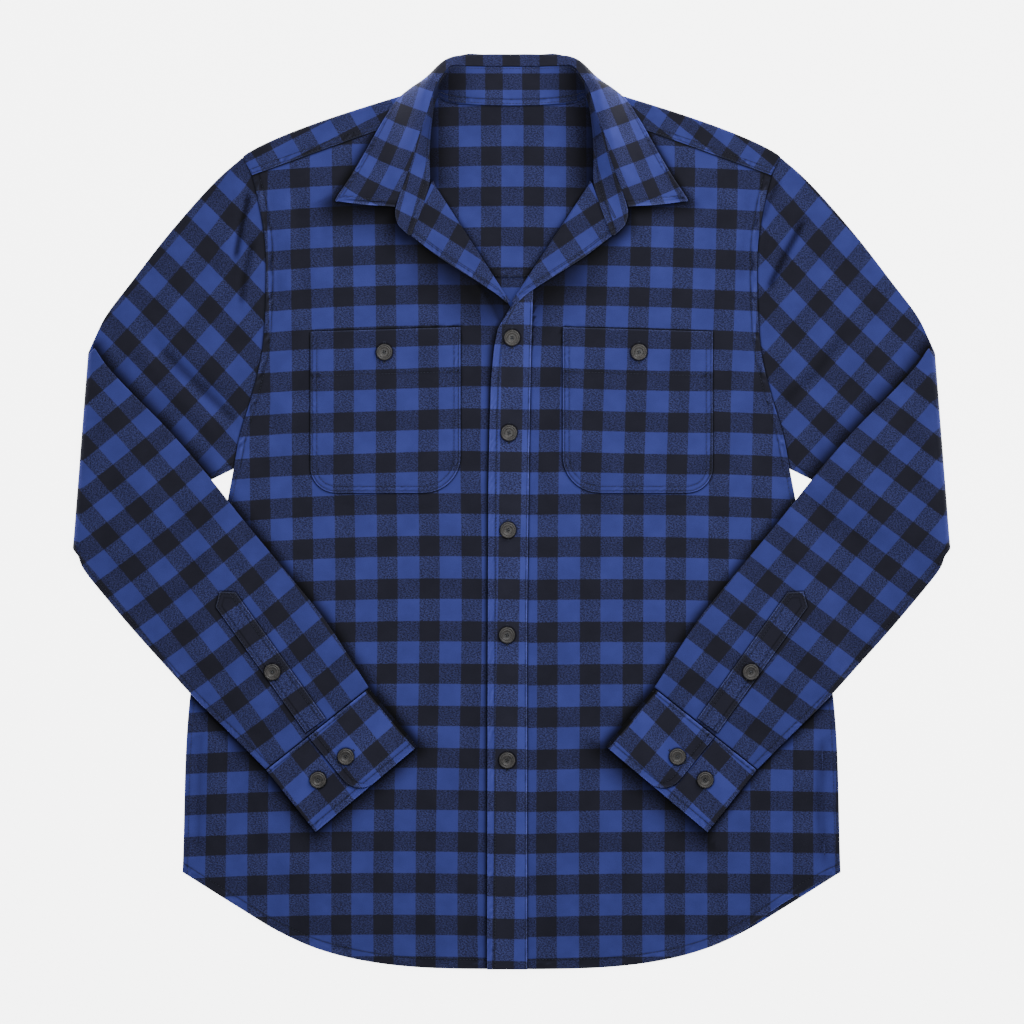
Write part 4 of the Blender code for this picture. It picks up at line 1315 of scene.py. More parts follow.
PLACKET_GRAIN = Grain((-20.9, 64.2), 89.1, -1, (40.93, 38.17))
YOKE_GRAIN = {
    Side.RIGHT: Grain((-168.1, 341.3), 120, 27, (38, 30)),
    Side.LEFT: Grain((130.2, 355.9), 58, 141, (30.3, 25)),
}


COLLAR_OUTLINE = Outline([
    *(row[4][:2] for row in COLLAR[3:]),
    *(point[:2] for point in LEAF_FRONT[::-1]),
    *(free[:2] for _, free in STAND_END),
    *(sewn[:2] for sewn, _ in STAND_END[::-1]),
    *(row[0][:2] for row in COLLAR[:3:-1]),
])


def pocket_outline(inset: float = 0.0) -> Array:
    """A pocket's outline or a line inside it, from the inner top corner round to the outer one."""
    inner, outer = POCKET_SIDES
    turn = np.linspace(0, math.pi / 2, 13)
    points = [(inner + inset, POCKET_TOP[0] - inset)]
    first, last = POCKET_CORNERS
    for radius, centre_x, start in ((first, inner + first, 1), (last, outer - last, 1.5)):
        for angle in start * math.pi + turn:
            reach = radius - inset
            points.append((centre_x + reach * math.cos(angle), POCKET_FOOT + radius + reach * math.sin(angle)))
    points.append((outer - inset, POCKET_TOP[1] - inset))
    return np.array(points)


POCKET_BORDER = Outline(pocket_outline())


def turned_over(
    near: Array, edge: Array, reach: Array, turns: int, out: Array, hinge: float, under: Callable
) -> tuple[Array, Array, Array]:
    """A strip of cloth that turns over a fold and lies back on what is under it.

    Args:
        near: places along the fold, as rows of (x, y).
        edge: the strip's free edge beside each.
        reach: how far from the fold the places of each row are, past the fold itself.
        turns: how many places go round the fold.
        out: the way out of the fold.
        hinge: the radius of the fold's outer face.
        under: the height under places (x, y) that are some way from the fold.

    Returns:
        The outer face, the inner one, and how far each place is from the free edge.
    """
    width = np.linalg.norm(edge - near, axis=1)[:, None]
    reach = np.hstack([np.zeros((len(near), turns)), reach])
    angle = math.pi * np.concatenate([np.linspace(0, 1, turns), np.ones(reach.shape[1] - turns)])
    spots = near[:, None] + (edge - near)[:, None] * (reach / np.maximum(width, 1e-6))[..., None]
    base = hinge + under(spots[..., 0], spots[..., 1], reach)
    faces = []
    for rise in (LOWER_FACE, UPPER_FACE):
        place = spots + out * ((hinge - rise) * np.sin(angle))[None, :, None]
        faces.append(stack(place[..., 0], place[..., 1], base - (hinge - rise) * np.cos(angle)))
    off = np.where(np.arange(reach.shape[1]) < turns, 1e3, width - reach)
    return *faces, off


@dataclass
class SidePiece:
    """What a piece that comes once on each side has.

    Attributes:
        side: the side of the wearer that it is on.
        finishes: the shirt's materials.
        thread: the sewing that its stitches join.
    """

    side: Side
    finishes: Finishes
    thread: Thread

    @property
    def sign(self) -> int:
        """The sign of its X."""
        return self.side.value

    def sew(self, *paths: Array) -> None:
        """Sews along paths that are drawn on the +X half."""
        self.thread.sew(*(path * (self.sign, 1, 1) for path in paths))

    def turned(self, *grids: Array) -> list[Array]:
        """Grids made on the +X half, on its own side and with their columns still towards +X."""
        return [turned_half(grid, self.side) for grid in grids]


@dataclass
class Front(SidePiece):
    """A front from the yoke's seam to the hem, with its lapel turned back over the roll line.

    Attributes:
        hem_lift: how far its hem is drawn up by the side seam.
    """

    hem_lift: float = 0.0

    @property
    def centre_edge(self) -> Curve:
        """The front's edge along its opening, by height."""
        return buttonhole_edge if self.side is Side.LEFT else button_edge

    def under(self, x: Array, y: Array) -> Array:
        """Height of the underside at places on the half."""
        return front_under(self.sign * x, y, self.side)

    def panel(self) -> tuple[Shell, Array, Array]:
        """The flat of the front.

        Returns:
            The shell, and how far each place of its half is from the outer edge and from the hem.
        """
        level = np.concatenate([
            FRONT_TOP - np.array(EDGE_STATIONS),
            np.linspace(353, HEM_Y + 16, 190),
            HEM_Y + np.array([14, 12, 10.5, 9.5, 8.6, 7.7, 6.6, 5, 3.4, 2, 1.1, 0.5, 0.15, 0]),
        ])[:, None]
        near_x, far_y = self.centre_edge(level), front_level(level)
        armhole = step((far_y - ARMPIT_Y) / 8)
        far_x = outer_edge(far_y) - mix(GAP, 0.1, armhole)
        width = (far_x - near_x)[:, 0]
        across = stations(width, (0, 0.3, 1, 2.5), (*EDGE_STATIONS, 5.6, 6.3, 7, 8.4), 58)
        share = across / width[:, None]
        x = mix(near_x, far_x, share)
        y = mix(level, far_y, share)
        settled = np.clip((82 - level) / (82 - HEM_Y - 14), 0, 1) ** 3
        y = y + settled * (hem_y(x) - mix(HEM_Y, SIDE_CORNER[1], share))
        outer_off, hem_off = width[:, None] - across, np.broadcast_to(level - HEM_Y, x.shape)
        if self.hem_lift:
            y = y + self.hem_lift * bell((x - 247) / 42) * (1 - step(hem_off / 60)) * step(outer_off / 14)
        low = self.under(x, y)
        top = stack(x, y, low + UPPER_FACE)
        seam = np.where(far_y > ARMPIT_Y, ARMHOLE_STITCHES, SIDE_STITCHES)
        along = np.broadcast_to(far_y, x.shape)
        height = (
            np.maximum(rolled(outer_off, 0.9), -0.75)
            + rolled(hem_off, 0.55)
            + rolled(FRONT_TOP - level + 0 * x, 0.7)
            + channel(outer_off, seam, 0.22)
            + turned_edge(outer_off, seam, 0.16)
            + pucker(outer_off, along, seam, 0.10, 9)
            + channel(hem_off, HEM_STITCHES, 0.22)
            + turned_edge(hem_off, HEM_STITCHES, 0.2, 1.4)
            + pucker(hem_off, x, HEM_STITCHES, 0.16, 11)
        )
        points, inner = relief(top, height), top - grid_normals(top) * (WALL - THIN)
        inner[..., 2] = np.maximum(low + LOWER_FACE, 0.02)
        # Wear and a painted highlight along the outer edge and the hem, painted shade in the channels of their
        # stitches, and painted shade in the troughs of the creases.
        wear = edge_wear_and_painted_light(outer_off - seam, 0, 0) + bell(outer_off / 0.8) * mix(0.5, 0.15, armhole)
        wear = wear + edge_wear_and_painted_light(hem_off, 0.35, HEM_STITCHES) + painted_seam_mottle(hem_off, x, 5, 4)
        wear = wear + painted_seam_mottle(outer_off, along, 3.6, 3.4) * mix(0.8, 1.9, armhole) * step(outer_off / 0.6)
        wear = wear + 0.24 * np.minimum(body_folds(self.sign * x, y)[0], 0)
        points, inner, wear, clear = self.turned(points, inner, wear, self.painted_shade_beside_covers(x, y))
        drag = stack(*body_folds(points[..., 0], points[..., 1])[1:])
        threads = FRONT_GRAIN[self.side].threads(points[..., :2] - drag)
        return Shell(points, inner, threads, wear, clear), outer_off, hem_off

    def painted_shade_beside_covers(self, x: Array, y: Array) -> Array:
        """How far places of the half are from what lies on them, in reaches of the shade painted beside it."""
        shaded = self.side is Side.RIGHT
        button_side = np.where(y < OPENING_Y + 4, x + buttonhole_edge(np.minimum(y, OPENING_Y)), 99)
        placket_side = np.where(y < OPENING_Y + 14, x - placket_seam(y), 99)
        lapel = Outline([ROLL_TOP, *(row[1:] for row in UPPER_LAPEL), (14, 196), ROLL_FOOT])
        below_leaf, below_lapel = step((286 - y) / 10), step((228 - y) / 26)
        past_foot = step(-beyond(x, y, *CUFF_EDGE) / 6)
        past_side = step((-206 - y) / 12) * step((x - 178) / 10)
        base, foot, side = (7, 10, 10) if shaded else (6.5, 16.5, 4.5)
        under_arm = mix(mix(base, side, past_side), foot, past_foot)
        return painted_shade_clearance(
            (POCKET_BORDER.distance(x, y), 1.2),
            (FOREARM_OUTLINE.distance(x, y), under_arm),
            (COLLAR_OUTLINE.distance(x, y), mix(6, 19, below_leaf) if shaded else mix(4, 9.5, below_leaf)),
            (lapel.distance(x, y), mix(20, 29, below_lapel) if shaded else mix(12, 25, below_lapel)),
            (button_side, mix(2.8, 5.5, step((y - 80) / 70))) if shaded else (placket_side, 1.3),
            (-beyond(x, y, *YOKE_FRONT_SEAM), 1.3),
        )

    def lapel(self) -> Shell:
        """The part that is turned back over the roll line."""
        share = np.linspace(-0.03, 1, 62)[:, None]
        y = mix(ROLL_TOP[1], OPENING_Y, share)
        near = stack(self.centre_edge(y), y)[:, 0]
        edge = Curve(LEFT_LAPEL if self.side is Side.LEFT else RIGHT_LAPEL)(share[:, 0])
        along_roll = unit(np.subtract(ROLL_TOP, ROLL_FOOT))
        out = np.array([-along_roll[1], along_roll[0]])
        width = np.linalg.norm(edge - near, axis=1)
        reach = stations(width, (0.4, 1.2, 2.4), (0, 0.15, 0.5, 1.1, 2, 3.2, 4.3, 5, 5.8, 6.6, 8), 10)
        reach = np.clip(reach, 0, width[:, None])
        outer, inner, off = turned_over(near, edge, reach, 11, out, ROLL_HINGE, lambda x, y, _: self.under(x, y))
        along = lengths(edge)[:, None]
        near_line, far_line = LAPEL_STITCHES
        outer[..., 2] += (
            rolled(off, 0.55)
            + channel(off, near_line, 0.16, 0.5)
            + channel(off, far_line, 0.16, 0.5)
            + turned_edge(off, far_line, 0.15, 1.5)
            + pucker(off, along, 5, 0.12, 8)
        )
        wear = edge_wear_and_painted_light(off, 0.85, *LAPEL_STITCHES, width=0.5) + painted_seam_mottle(off, along, 3, 2.6)
        self.sew(*(outer[:58, nearest(off[0], at)] for at in LAPEL_STITCHES))
        outer, inner, wear = self.turned(outer, inner, wear)
        return Shell(outer, inner, LAPEL_GRAIN[self.side].threads(outer), wear)

    def build(self) -> Object:
        """Makes the front."""
        panel, outer_off, hem_off = self.panel()
        shells = panel, self.lapel()
        points = turned_half(panel.outer, self.side)
        side_seam, armhole = (points[:, nearest(outer_off[100], at)] for at in (SIDE_STITCHES, ARMHOLE_STITCHES))
        self.sew(
            armhole[(armhole[:, 1] > ARMPIT_Y + 2) & (armhole[:, 1] < 300)],
            side_seam[side_seam[:, 1] < ARMPIT_Y - 2],
            points[nearest(hem_off[:, 0], HEM_STITCHES)],
        )
        return lay_cloth(f"front_{self.side.label}", self.finishes.body, "flannel_body", *shells)




def edge_relief(off: Array, along: Array, seams: Sequence[float], fold: float = 0.15) -> Array:
    """The shape of a turned and stitched edge.

    Args:
        off: distances from the edge.
        along: distances covered along it.
        seams: how far in each line of stitches is.
        fold: how much the turned edge adds to the thickness.

    Returns:
        The height at each place.
    """
    last = max(seams)
    height = rolled(off, 0.55) + turned_edge(off, last, fold, 1.5)
    for at in seams:
        height = height + channel(off, at, 0.17, 0.6)
    return height + pucker(off, along, last, 0.09, 8)


def button_painted_shade_clearance(x: Array, y: Array, places: Sequence[Sequence[float]]) -> Array:
    """How far places are from the buttons that lie on them, in reaches of the shade painted round them."""
    return painted_shade_clearance(*((np.hypot(x - at_x, y - at_y) - 7.3, 1.2) for at_x, at_y in places))


@dataclass
class Back:
    """The back below the yoke, on the surface."""

    finishes: Finishes

    def build(self) -> Object:
        """Makes the back."""
        level = np.linspace(BACK_SEAM_Y - GAP, SIDE_CORNER[1], 90)[:, None]
        half = outer_edge(level) - GAP
        place = stations(2 * half[:, 0], EDGE_STATIONS, EDGE_STATIONS, 90)
        x = place - half
        share = np.linspace(0, 1, len(level))[:, None]
        y = level + share**3 * (hem_y(x) - SIDE_CORNER[1])
        off = np.minimum(np.minimum(place, 2 * half - place), y - hem_y(x))
        top = stack(x, y, np.full_like(x, WALL - THIN))
        outer = relief(top, rolled(np.maximum(off, 0), 0.5))
        # Wear and a painted highlight along its edges.
        shell = Shell(outer, top * (1, 1, 0), BACK_GRAIN.threads(top), 0.2 * bell(off / 0.8))
        return lay_cloth("back", self.finishes.body, "flannel_body", shell)


@dataclass
class Yoke:
    """The yoke: an outer ply turned over both shoulders and an inner ply in the neck."""

    finishes: Finishes
    thread: Thread

    HINGE = (2 * PLY + WALL) / 2
    FOLD = unit(np.subtract(SHOULDER_NECK, SHOULDER_TIP))
    OUT = np.array([FOLD[1], -FOLD[0]])

    @staticmethod
    def bowed(share: Array | float) -> Array:
        """How far the shoulder's fold bows out, at shares of the way from its tip to the neck."""
        return SHOULDER_BOW * np.sin(math.pi * np.asarray(share, float) ** 0.62)

    def under_neck(self) -> Shell:
        """The outer ply on the surface, from the back seam up to the neck and the shoulder folds."""
        spread = np.concatenate([np.linspace(0, 1, 30), np.linspace(1, 2, 9)[1:]])
        spread = np.concatenate([spread, 4 - spread[-2::-1]])
        x, y = np.zeros((40, len(spread))), np.zeros((40, len(spread)))
        rows = np.linspace(0, 1, 40)
        for column, place in enumerate(spread):
            sign, along = (-1, place) if place <= 2 else (1, 4 - place)
            if along > 1:
                foot_x = top_x = SHOULDER_NECK[0] * (2 - along)
                top_y = float(back_neck(foot_x)) + 3
            else:
                foot_x = mix(float(outer_edge(BACK_SEAM_Y)) - GAP, SHOULDER_NECK[0], along)
                fold = mix((SHOULDER_TIP[0] - SHOULDER_EASE, SHOULDER_TIP[1]), SHOULDER_NECK, along)
                top_x, top_y = fold + self.OUT * (self.bowed(along) - self.HINGE)
            x[:, column] = mix(foot_x, top_x, rows)
            y[:, column] = mix(BACK_SEAM_Y, top_y, rows)
            if column in (0, len(spread) - 1):
                x[:, column] = outer_edge(y[:, column]) + 0.1
            x[:, column] *= sign
        top = stack(x, y, np.full_like(x, WALL - THIN))[::-1]
        return Shell(top, top * (1, 1, 0), INNER_YOKE_GRAIN.threads(top), np.zeros(top.shape[:2]))

    def over_shoulder(self, side: Side) -> Shell:
        """The outer ply turned over a shoulder and down to the front seam."""
        share = np.concatenate([(0, 0.0015, 0.005, 0.012), np.linspace(0.02, 1, 64)])[:, None]
        inner_end, outer_end = YOKE_FRONT_SEAM
        fold = mix(np.array([(SHOULDER_TIP[0] - SHOULDER_EASE, SHOULDER_TIP[1])]), SHOULDER_NECK, share)
        end = mix(np.array([(outer_end[0] + GAP, outer_end[1] + GAP)]), (inner_end[0], inner_end[1] + GAP), share)
        low = fold + self.OUT * (self.bowed(share) - self.HINGE)
        width = np.linalg.norm(end - low, axis=1)
        reach = stations(width, (0.6, 1.6), (0, 0.15, 0.45, 0.9, 1.5, 2.1, 3, 4.6, 5.4, 6.2, 7.4), 8)

        def under(x: Array, y: Array, far: Array) -> Array:
            """How far the front's rise lifts the ply, growing with the distance from the fold."""
            return (front_rise(side.value * x, y, side) - 2 * PLY) * step(far / 12)

        outer, inner, off = turned_over(low, end, reach, 13, self.OUT, self.HINGE, under)
        along = lengths(end)[:, None]
        outer[..., 2] += edge_relief(off, along, YOKE_STITCHES, 0.12) + np.maximum(rolled(along, 0.8), -0.6)
        outer[..., 2] = np.where(off > 500, np.maximum(outer[..., 2], 0), outer[..., 2])
        wear = edge_wear_and_painted_light(off, 0.8, *YOKE_STITCHES, width=0.55) + 1.5 * painted_seam_mottle(off, along, 3.4, 2.4)
        outer, inner = outer * (side.value, 1, 1), inner * (side.value, 1, 1)
        self.thread.sew(*(outer[3:, nearest(off[10], at)] for at in YOKE_STITCHES))
        outer, inner, wear = (np.swapaxes(grid, 0, 1) for grid in (outer, inner, wear))
        if side is Side.LEFT:
            outer, inner, wear = (grid[:, ::-1] for grid in (outer, inner, wear))
        return Shell(outer, inner, YOKE_GRAIN[side].threads(outer), wear)

    def inner_ply(self) -> Object:
        """Makes the ply that shows in the neck."""
        slope = (SHOULDER_TIP[1] - SHOULDER_NECK[1]) / (SHOULDER_TIP[0] - SHOULDER_NECK[0])
        half = np.concatenate([np.linspace(0, 60, 24), np.linspace(61, SHOULDER_NECK[0], 8),
                               np.linspace(70, INNER_YOKE_REACH, 30)])
        across = np.concatenate([-half[:0:-1], half])[None]
        outside = np.abs(across) - SHOULDER_NECK[0]
        neck = np.where(outside < 0, back_neck(np.minimum(np.abs(across), SHOULDER_NECK[0])) - GAP, NECK_SIDE_Y)
        top = np.where(outside >= 0, np.minimum(neck, SHOULDER_NECK[1] + slope * outside - INNER_YOKE_INSET), neck)
        up = stations(top[0] - INNER_YOKE_Y, (*EDGE_STATIONS, 6, 8.2, 10), EDGE_STATIONS, 44).T
        x, y = np.broadcast_to(across, up.shape), INNER_YOKE_Y + up
        low_line, high_line = INNER_YOKE_STITCHES
        height = rolled(up, 0.5) + channel(up, low_line, 0.12, 0.5) + channel(up, high_line, 0.2, 0.9)
        height = height + turned_edge(up, high_line, 0.12) + pucker(up, x, high_line, 0.06, 9)
        height = height + 0.22 * (smoothed_noise(x, y, 46, 0.7) - 0.6) * step(up / 20)
        points = stack(x, y, PLY + UPPER_FACE + height)[::-1]
        inner = stack(x, y, np.full_like(up, PLY + LOWER_FACE))[::-1]
        wear = (edge_wear_and_painted_light(up, 0.1, *INNER_YOKE_STITCHES) + painted_seam_mottle(up, x, 4.5, 4))[::-1]
        half_x = np.abs(x)
        side_off = from_line(half_x, y, (72, 300), (74, 360))
        # Painted shade beside the sides of the neck, along the roll line and under the back of the neck.
        clear = painted_shade_clearance(
            (np.where(half_x < 73, side_off, -side_off), np.where(x < 0, 14, 18)),
            (from_line(half_x, y, ROLL_TOP, ROLL_FOOT), np.where(x < 0, 3.6, 4.5)),
            (back_neck(np.minimum(half_x, SHOULDER_NECK[0])) - y, 1.4),
        )[::-1]
        self.thread.sew(*(points[::-1][nearest(up[:, 0], at), 12:-12] for at in INNER_YOKE_STITCHES))
        shell = Shell(points, inner, INNER_YOKE_GRAIN.threads(points), wear, clear)
        return lay_cloth("inner_yoke", self.finishes.yoke, "flannel_yoke", shell)

    def build(self) -> tuple[Object, Object]:
        """Makes both plies."""
        shells = self.under_neck(), *(self.over_shoulder(side) for side in Side)
        return lay_cloth("yoke", self.finishes.yoke, "flannel_yoke", *shells), self.inner_ply()


@dataclass
class Placket:
    """The buttonhole strip, on the edge of the wearer's left front."""

    finishes: Finishes
    thread: Thread

    @staticmethod
    def top(x: Array, y: Array) -> Array:
        """Height of its upper face."""
        return front_under(x, y, Side.LEFT) + PLY + UPPER_FACE

    def build(self) -> Object:
        """Makes the placket."""
        level = np.sort([*np.linspace(0, 1, 200)[:-1], *1 - np.array([6, 3, 1.4, 0.6, 0.2, 0]) / 600])
        foot_y = mix(OPENING_Y - 3, HEM_Y, level)
        left = buttonhole_edge(np.minimum(foot_y, OPENING_Y - 3))
        right = placket_seam(foot_y)
        near = (0, 0.15, 0.45, 0.9, 1.6, 2.6, 4.4, 5.6, 6.5, 7.4, 9)
        far = (0, 0.15, 0.45, 0.9, 1.6, 2.2, 3.2)
        across = stations(right - left, near, far, 10)
        share = across / (right - left)[:, None]
        y = mix(OPENING_Y - 3 + share * 19, HEM_Y, level[:, None])
        x = mix(left[:, None], placket_seam(y), share)
        off_left, off_right = across, (right - left)[:, None] - across
        height = edge_relief(off_left, y, (PLACKET_STITCHES,), 0.10)
        height = height + edge_relief(off_right, y, (PLACKET_SEAM_STITCHES,), 0.06) + rolled(y - HEM_Y, 0.5)
        height = height + 0.12 * smoothed_noise(x * 3, y, 52, 1.9) * step(off_left / 8) * step(off_right / 6)
        outer = stack(x, y, self.top(x, y) + height)
        inner = stack(x, y, front_under(x, y, Side.LEFT) + PLY + LOWER_FACE)
        wear = edge_wear_and_painted_light(off_left, 0.5, PLACKET_STITCHES) + edge_wear_and_painted_light(off_right, 0.85, PLACKET_SEAM_STITCHES, width=0.45)
        wear = wear + painted_seam_mottle(off_left, y, 3.6, 3.2) + painted_seam_mottle(off_right, y, 0.9, 1.4, 3.4)
        # Painted shade round the buttons.
        clear = button_painted_shade_clearance(x, y, PLACKET_BUTTONS)
        lines = (off_left, PLACKET_STITCHES), (off_right, PLACKET_SEAM_STITCHES), (off_left, PLACKET_STITCHES + 0.9)
        self.thread.sew(*(outer[:, nearest(off[0], at)] for off, at in lines))
        shell = Shell(outer, inner, PLACKET_GRAIN.threads(outer), wear, clear)
        return lay_cloth("placket", self.finishes.placket, "flannel_trim", shell)


@dataclass
class Pocket(SidePiece):
    """A patch pocket with rounded lower corners."""

    def under(self, x: Array, y: Array) -> Array:
        """Height of its underside at places on the half."""
        return front_under(self.sign * x, y, self.side) + PLY

    def foot(self, x: Array) -> Array:
        """Height of its lower edge, rounded at the corners."""
        inner, outer = POCKET_SIDES
        first = x < (inner + outer) / 2
        corner = np.where(first, *POCKET_CORNERS)
        inset = np.maximum(corner - np.where(first, x - inner, outer - x), 0)
        return POCKET_FOOT + corner - np.sqrt(np.maximum(corner**2 - inset**2, 0))

    def path(self, points: Array) -> Array:
        """A line drawn on the pocket's upper face."""
        marks = lengths(points)
        even = np.arange(0, marks[-1], 1.5)
        x, y = (np.interp(even, marks, points[:, i]) for i in (0, 1))
        return stack(x, y, self.under(x, y) + UPPER_FACE)

    def build(self) -> Object:
        """Makes the pocket."""
        inner, outer = POCKET_SIDES
        near = (0, 0.1, 0.35, 0.8, 1.5, 2.3, 3.2, 4.4, 5.4, 6.6, 8.4, 11, 14, 18, 22, 27, 33)
        x = inner + stations(outer - inner, near, near[:-1], 22)[0]
        foot, top = self.foot(x), np.interp(x, POCKET_SIDES, POCKET_TOP)
        far = (0, 0.1, 0.35, 0.8, 1.5, 2.3, 3.2, 4.4, 5.4, 6.6, 8.4)
        down = stations(top - foot, (*far[:6], 4, 7), far, 44)
        y = (top[:, None] - down).T
        x = np.broadcast_to(x, y.shape)
        off = np.maximum(-POCKET_BORDER.distance(x, y), 0)
        top_off = down.T
        side_off = np.where(top_off < off + 0.01, 1e3, off)
        low = self.under(x, y)
        near_line, far_line = POCKET_STITCHES
        height = rolled(off, 0.5) + channel(side_off, near_line, 0.14, 0.5) + channel(side_off, far_line, 0.15, 0.6)
        height = height + turned_edge(off, far_line, 0.10)
        height = height + channel(top_off, POCKET_HEM, 0.16, 0.7) + 0.10 * (1 - step((top_off - POCKET_HEM) / 2))
        height = height + pucker(off, x + y, 4, 0.07, 9)
        height = height + 0.16 * (smoothed_noise(x, y, 48, 2.4 + self.side.value) - 0.3) * step(off / 10)
        outer_face = stack(x, y, low + UPPER_FACE + height)
        inner_face = stack(x, y, low + LOWER_FACE)
        wear = edge_wear_and_painted_light(off, 0.8) + edge_wear_and_painted_light(side_off, 0, *POCKET_STITCHES, width=0.7) + edge_wear_and_painted_light(top_off, 0, POCKET_HEM)
        wear = wear + painted_seam_mottle(side_off, y - 0.9 * x, 3.8, 2.4)
        hem_line = np.array([(inner + 2, POCKET_TOP[0] - POCKET_HEM), (outer - 2, POCKET_TOP[1] - POCKET_HEM)])
        self.sew(*(self.path(line) for line in (*map(pocket_outline, POCKET_STITCHES), hem_line)))
        # Painted shade round the button.
        points, face, wear, clear = self.turned(outer_face, inner_face, wear, button_painted_shade_clearance(x, y, [POCKET_BUTTON]))
        shell = Shell(points, face, POCKET_GRAIN[self.side].threads(points), wear, clear)
        return lay_cloth(f"pocket_{self.side.label}", self.finishes.body, "flannel_trim", shell)


UPPER_ARM_GRAIN = {
    Side.RIGHT: Grain((-274.9, 263.8), 51.82, 135.46, (36.5, 36.9), 2.98, -2.32),
    Side.LEFT: Grain((276.4, 268.9), 50.03, 132.18, (35.87, 36.59), 1.05, 3.39),
}
FOREARM_GRAIN = {
    Side.RIGHT: Grain((-254.9, -5.7), -50.95, 40.88, (37.93, 37.63), -1.95, -3.96),
    Side.LEFT: Grain((252.5, -9.1), 230.93, 142.33, (37.06, 37.6), 0.69, 1.29),
}
STRIP_GRAIN = {
    Side.RIGHT: Grain((-204.7, -111.2), -54.5, 35.3, (48, 37)),
    Side.LEFT: Grain((204.9, -110.8), 234.5, 138.7, (48, 37)),
}
CUFF_GRAIN = {
    Side.RIGHT: Grain((-119.3, -190.7), -51.8, 40.85, (37.63, 36.89)),
    Side.LEFT: Grain((116, -190.1), 232, 136.3, (36.59, 36.47)),
}
CUFF_UNDER_GRAIN = {
    Side.RIGHT: Grain((-189.9, -248.2), -52.4, 41.35, (42.81, 37.13)),
    Side.LEFT: Grain((188.2, -248.6), 230.15, 137, (43.14, 36.85)),
}
FOREARM_FOLDS = tuple(Fold(*row) for row in (
    (((352, 92), (330, 40), (318, -8)), 16, 0.5, 0.4),
    (((368, 60), (352, 8), (340, -44)), 15, -0.4, 0.3),
    (((250, -30), (232, -62), (206, -92)), 12, 0.35, 0.3),
    (((300, -10), (284, -46), (262, -74)), 14, -0.35, 0.3),
    (((168, -112), (156, -132), (146, -148)), 8, 0.35, 0.2),
))


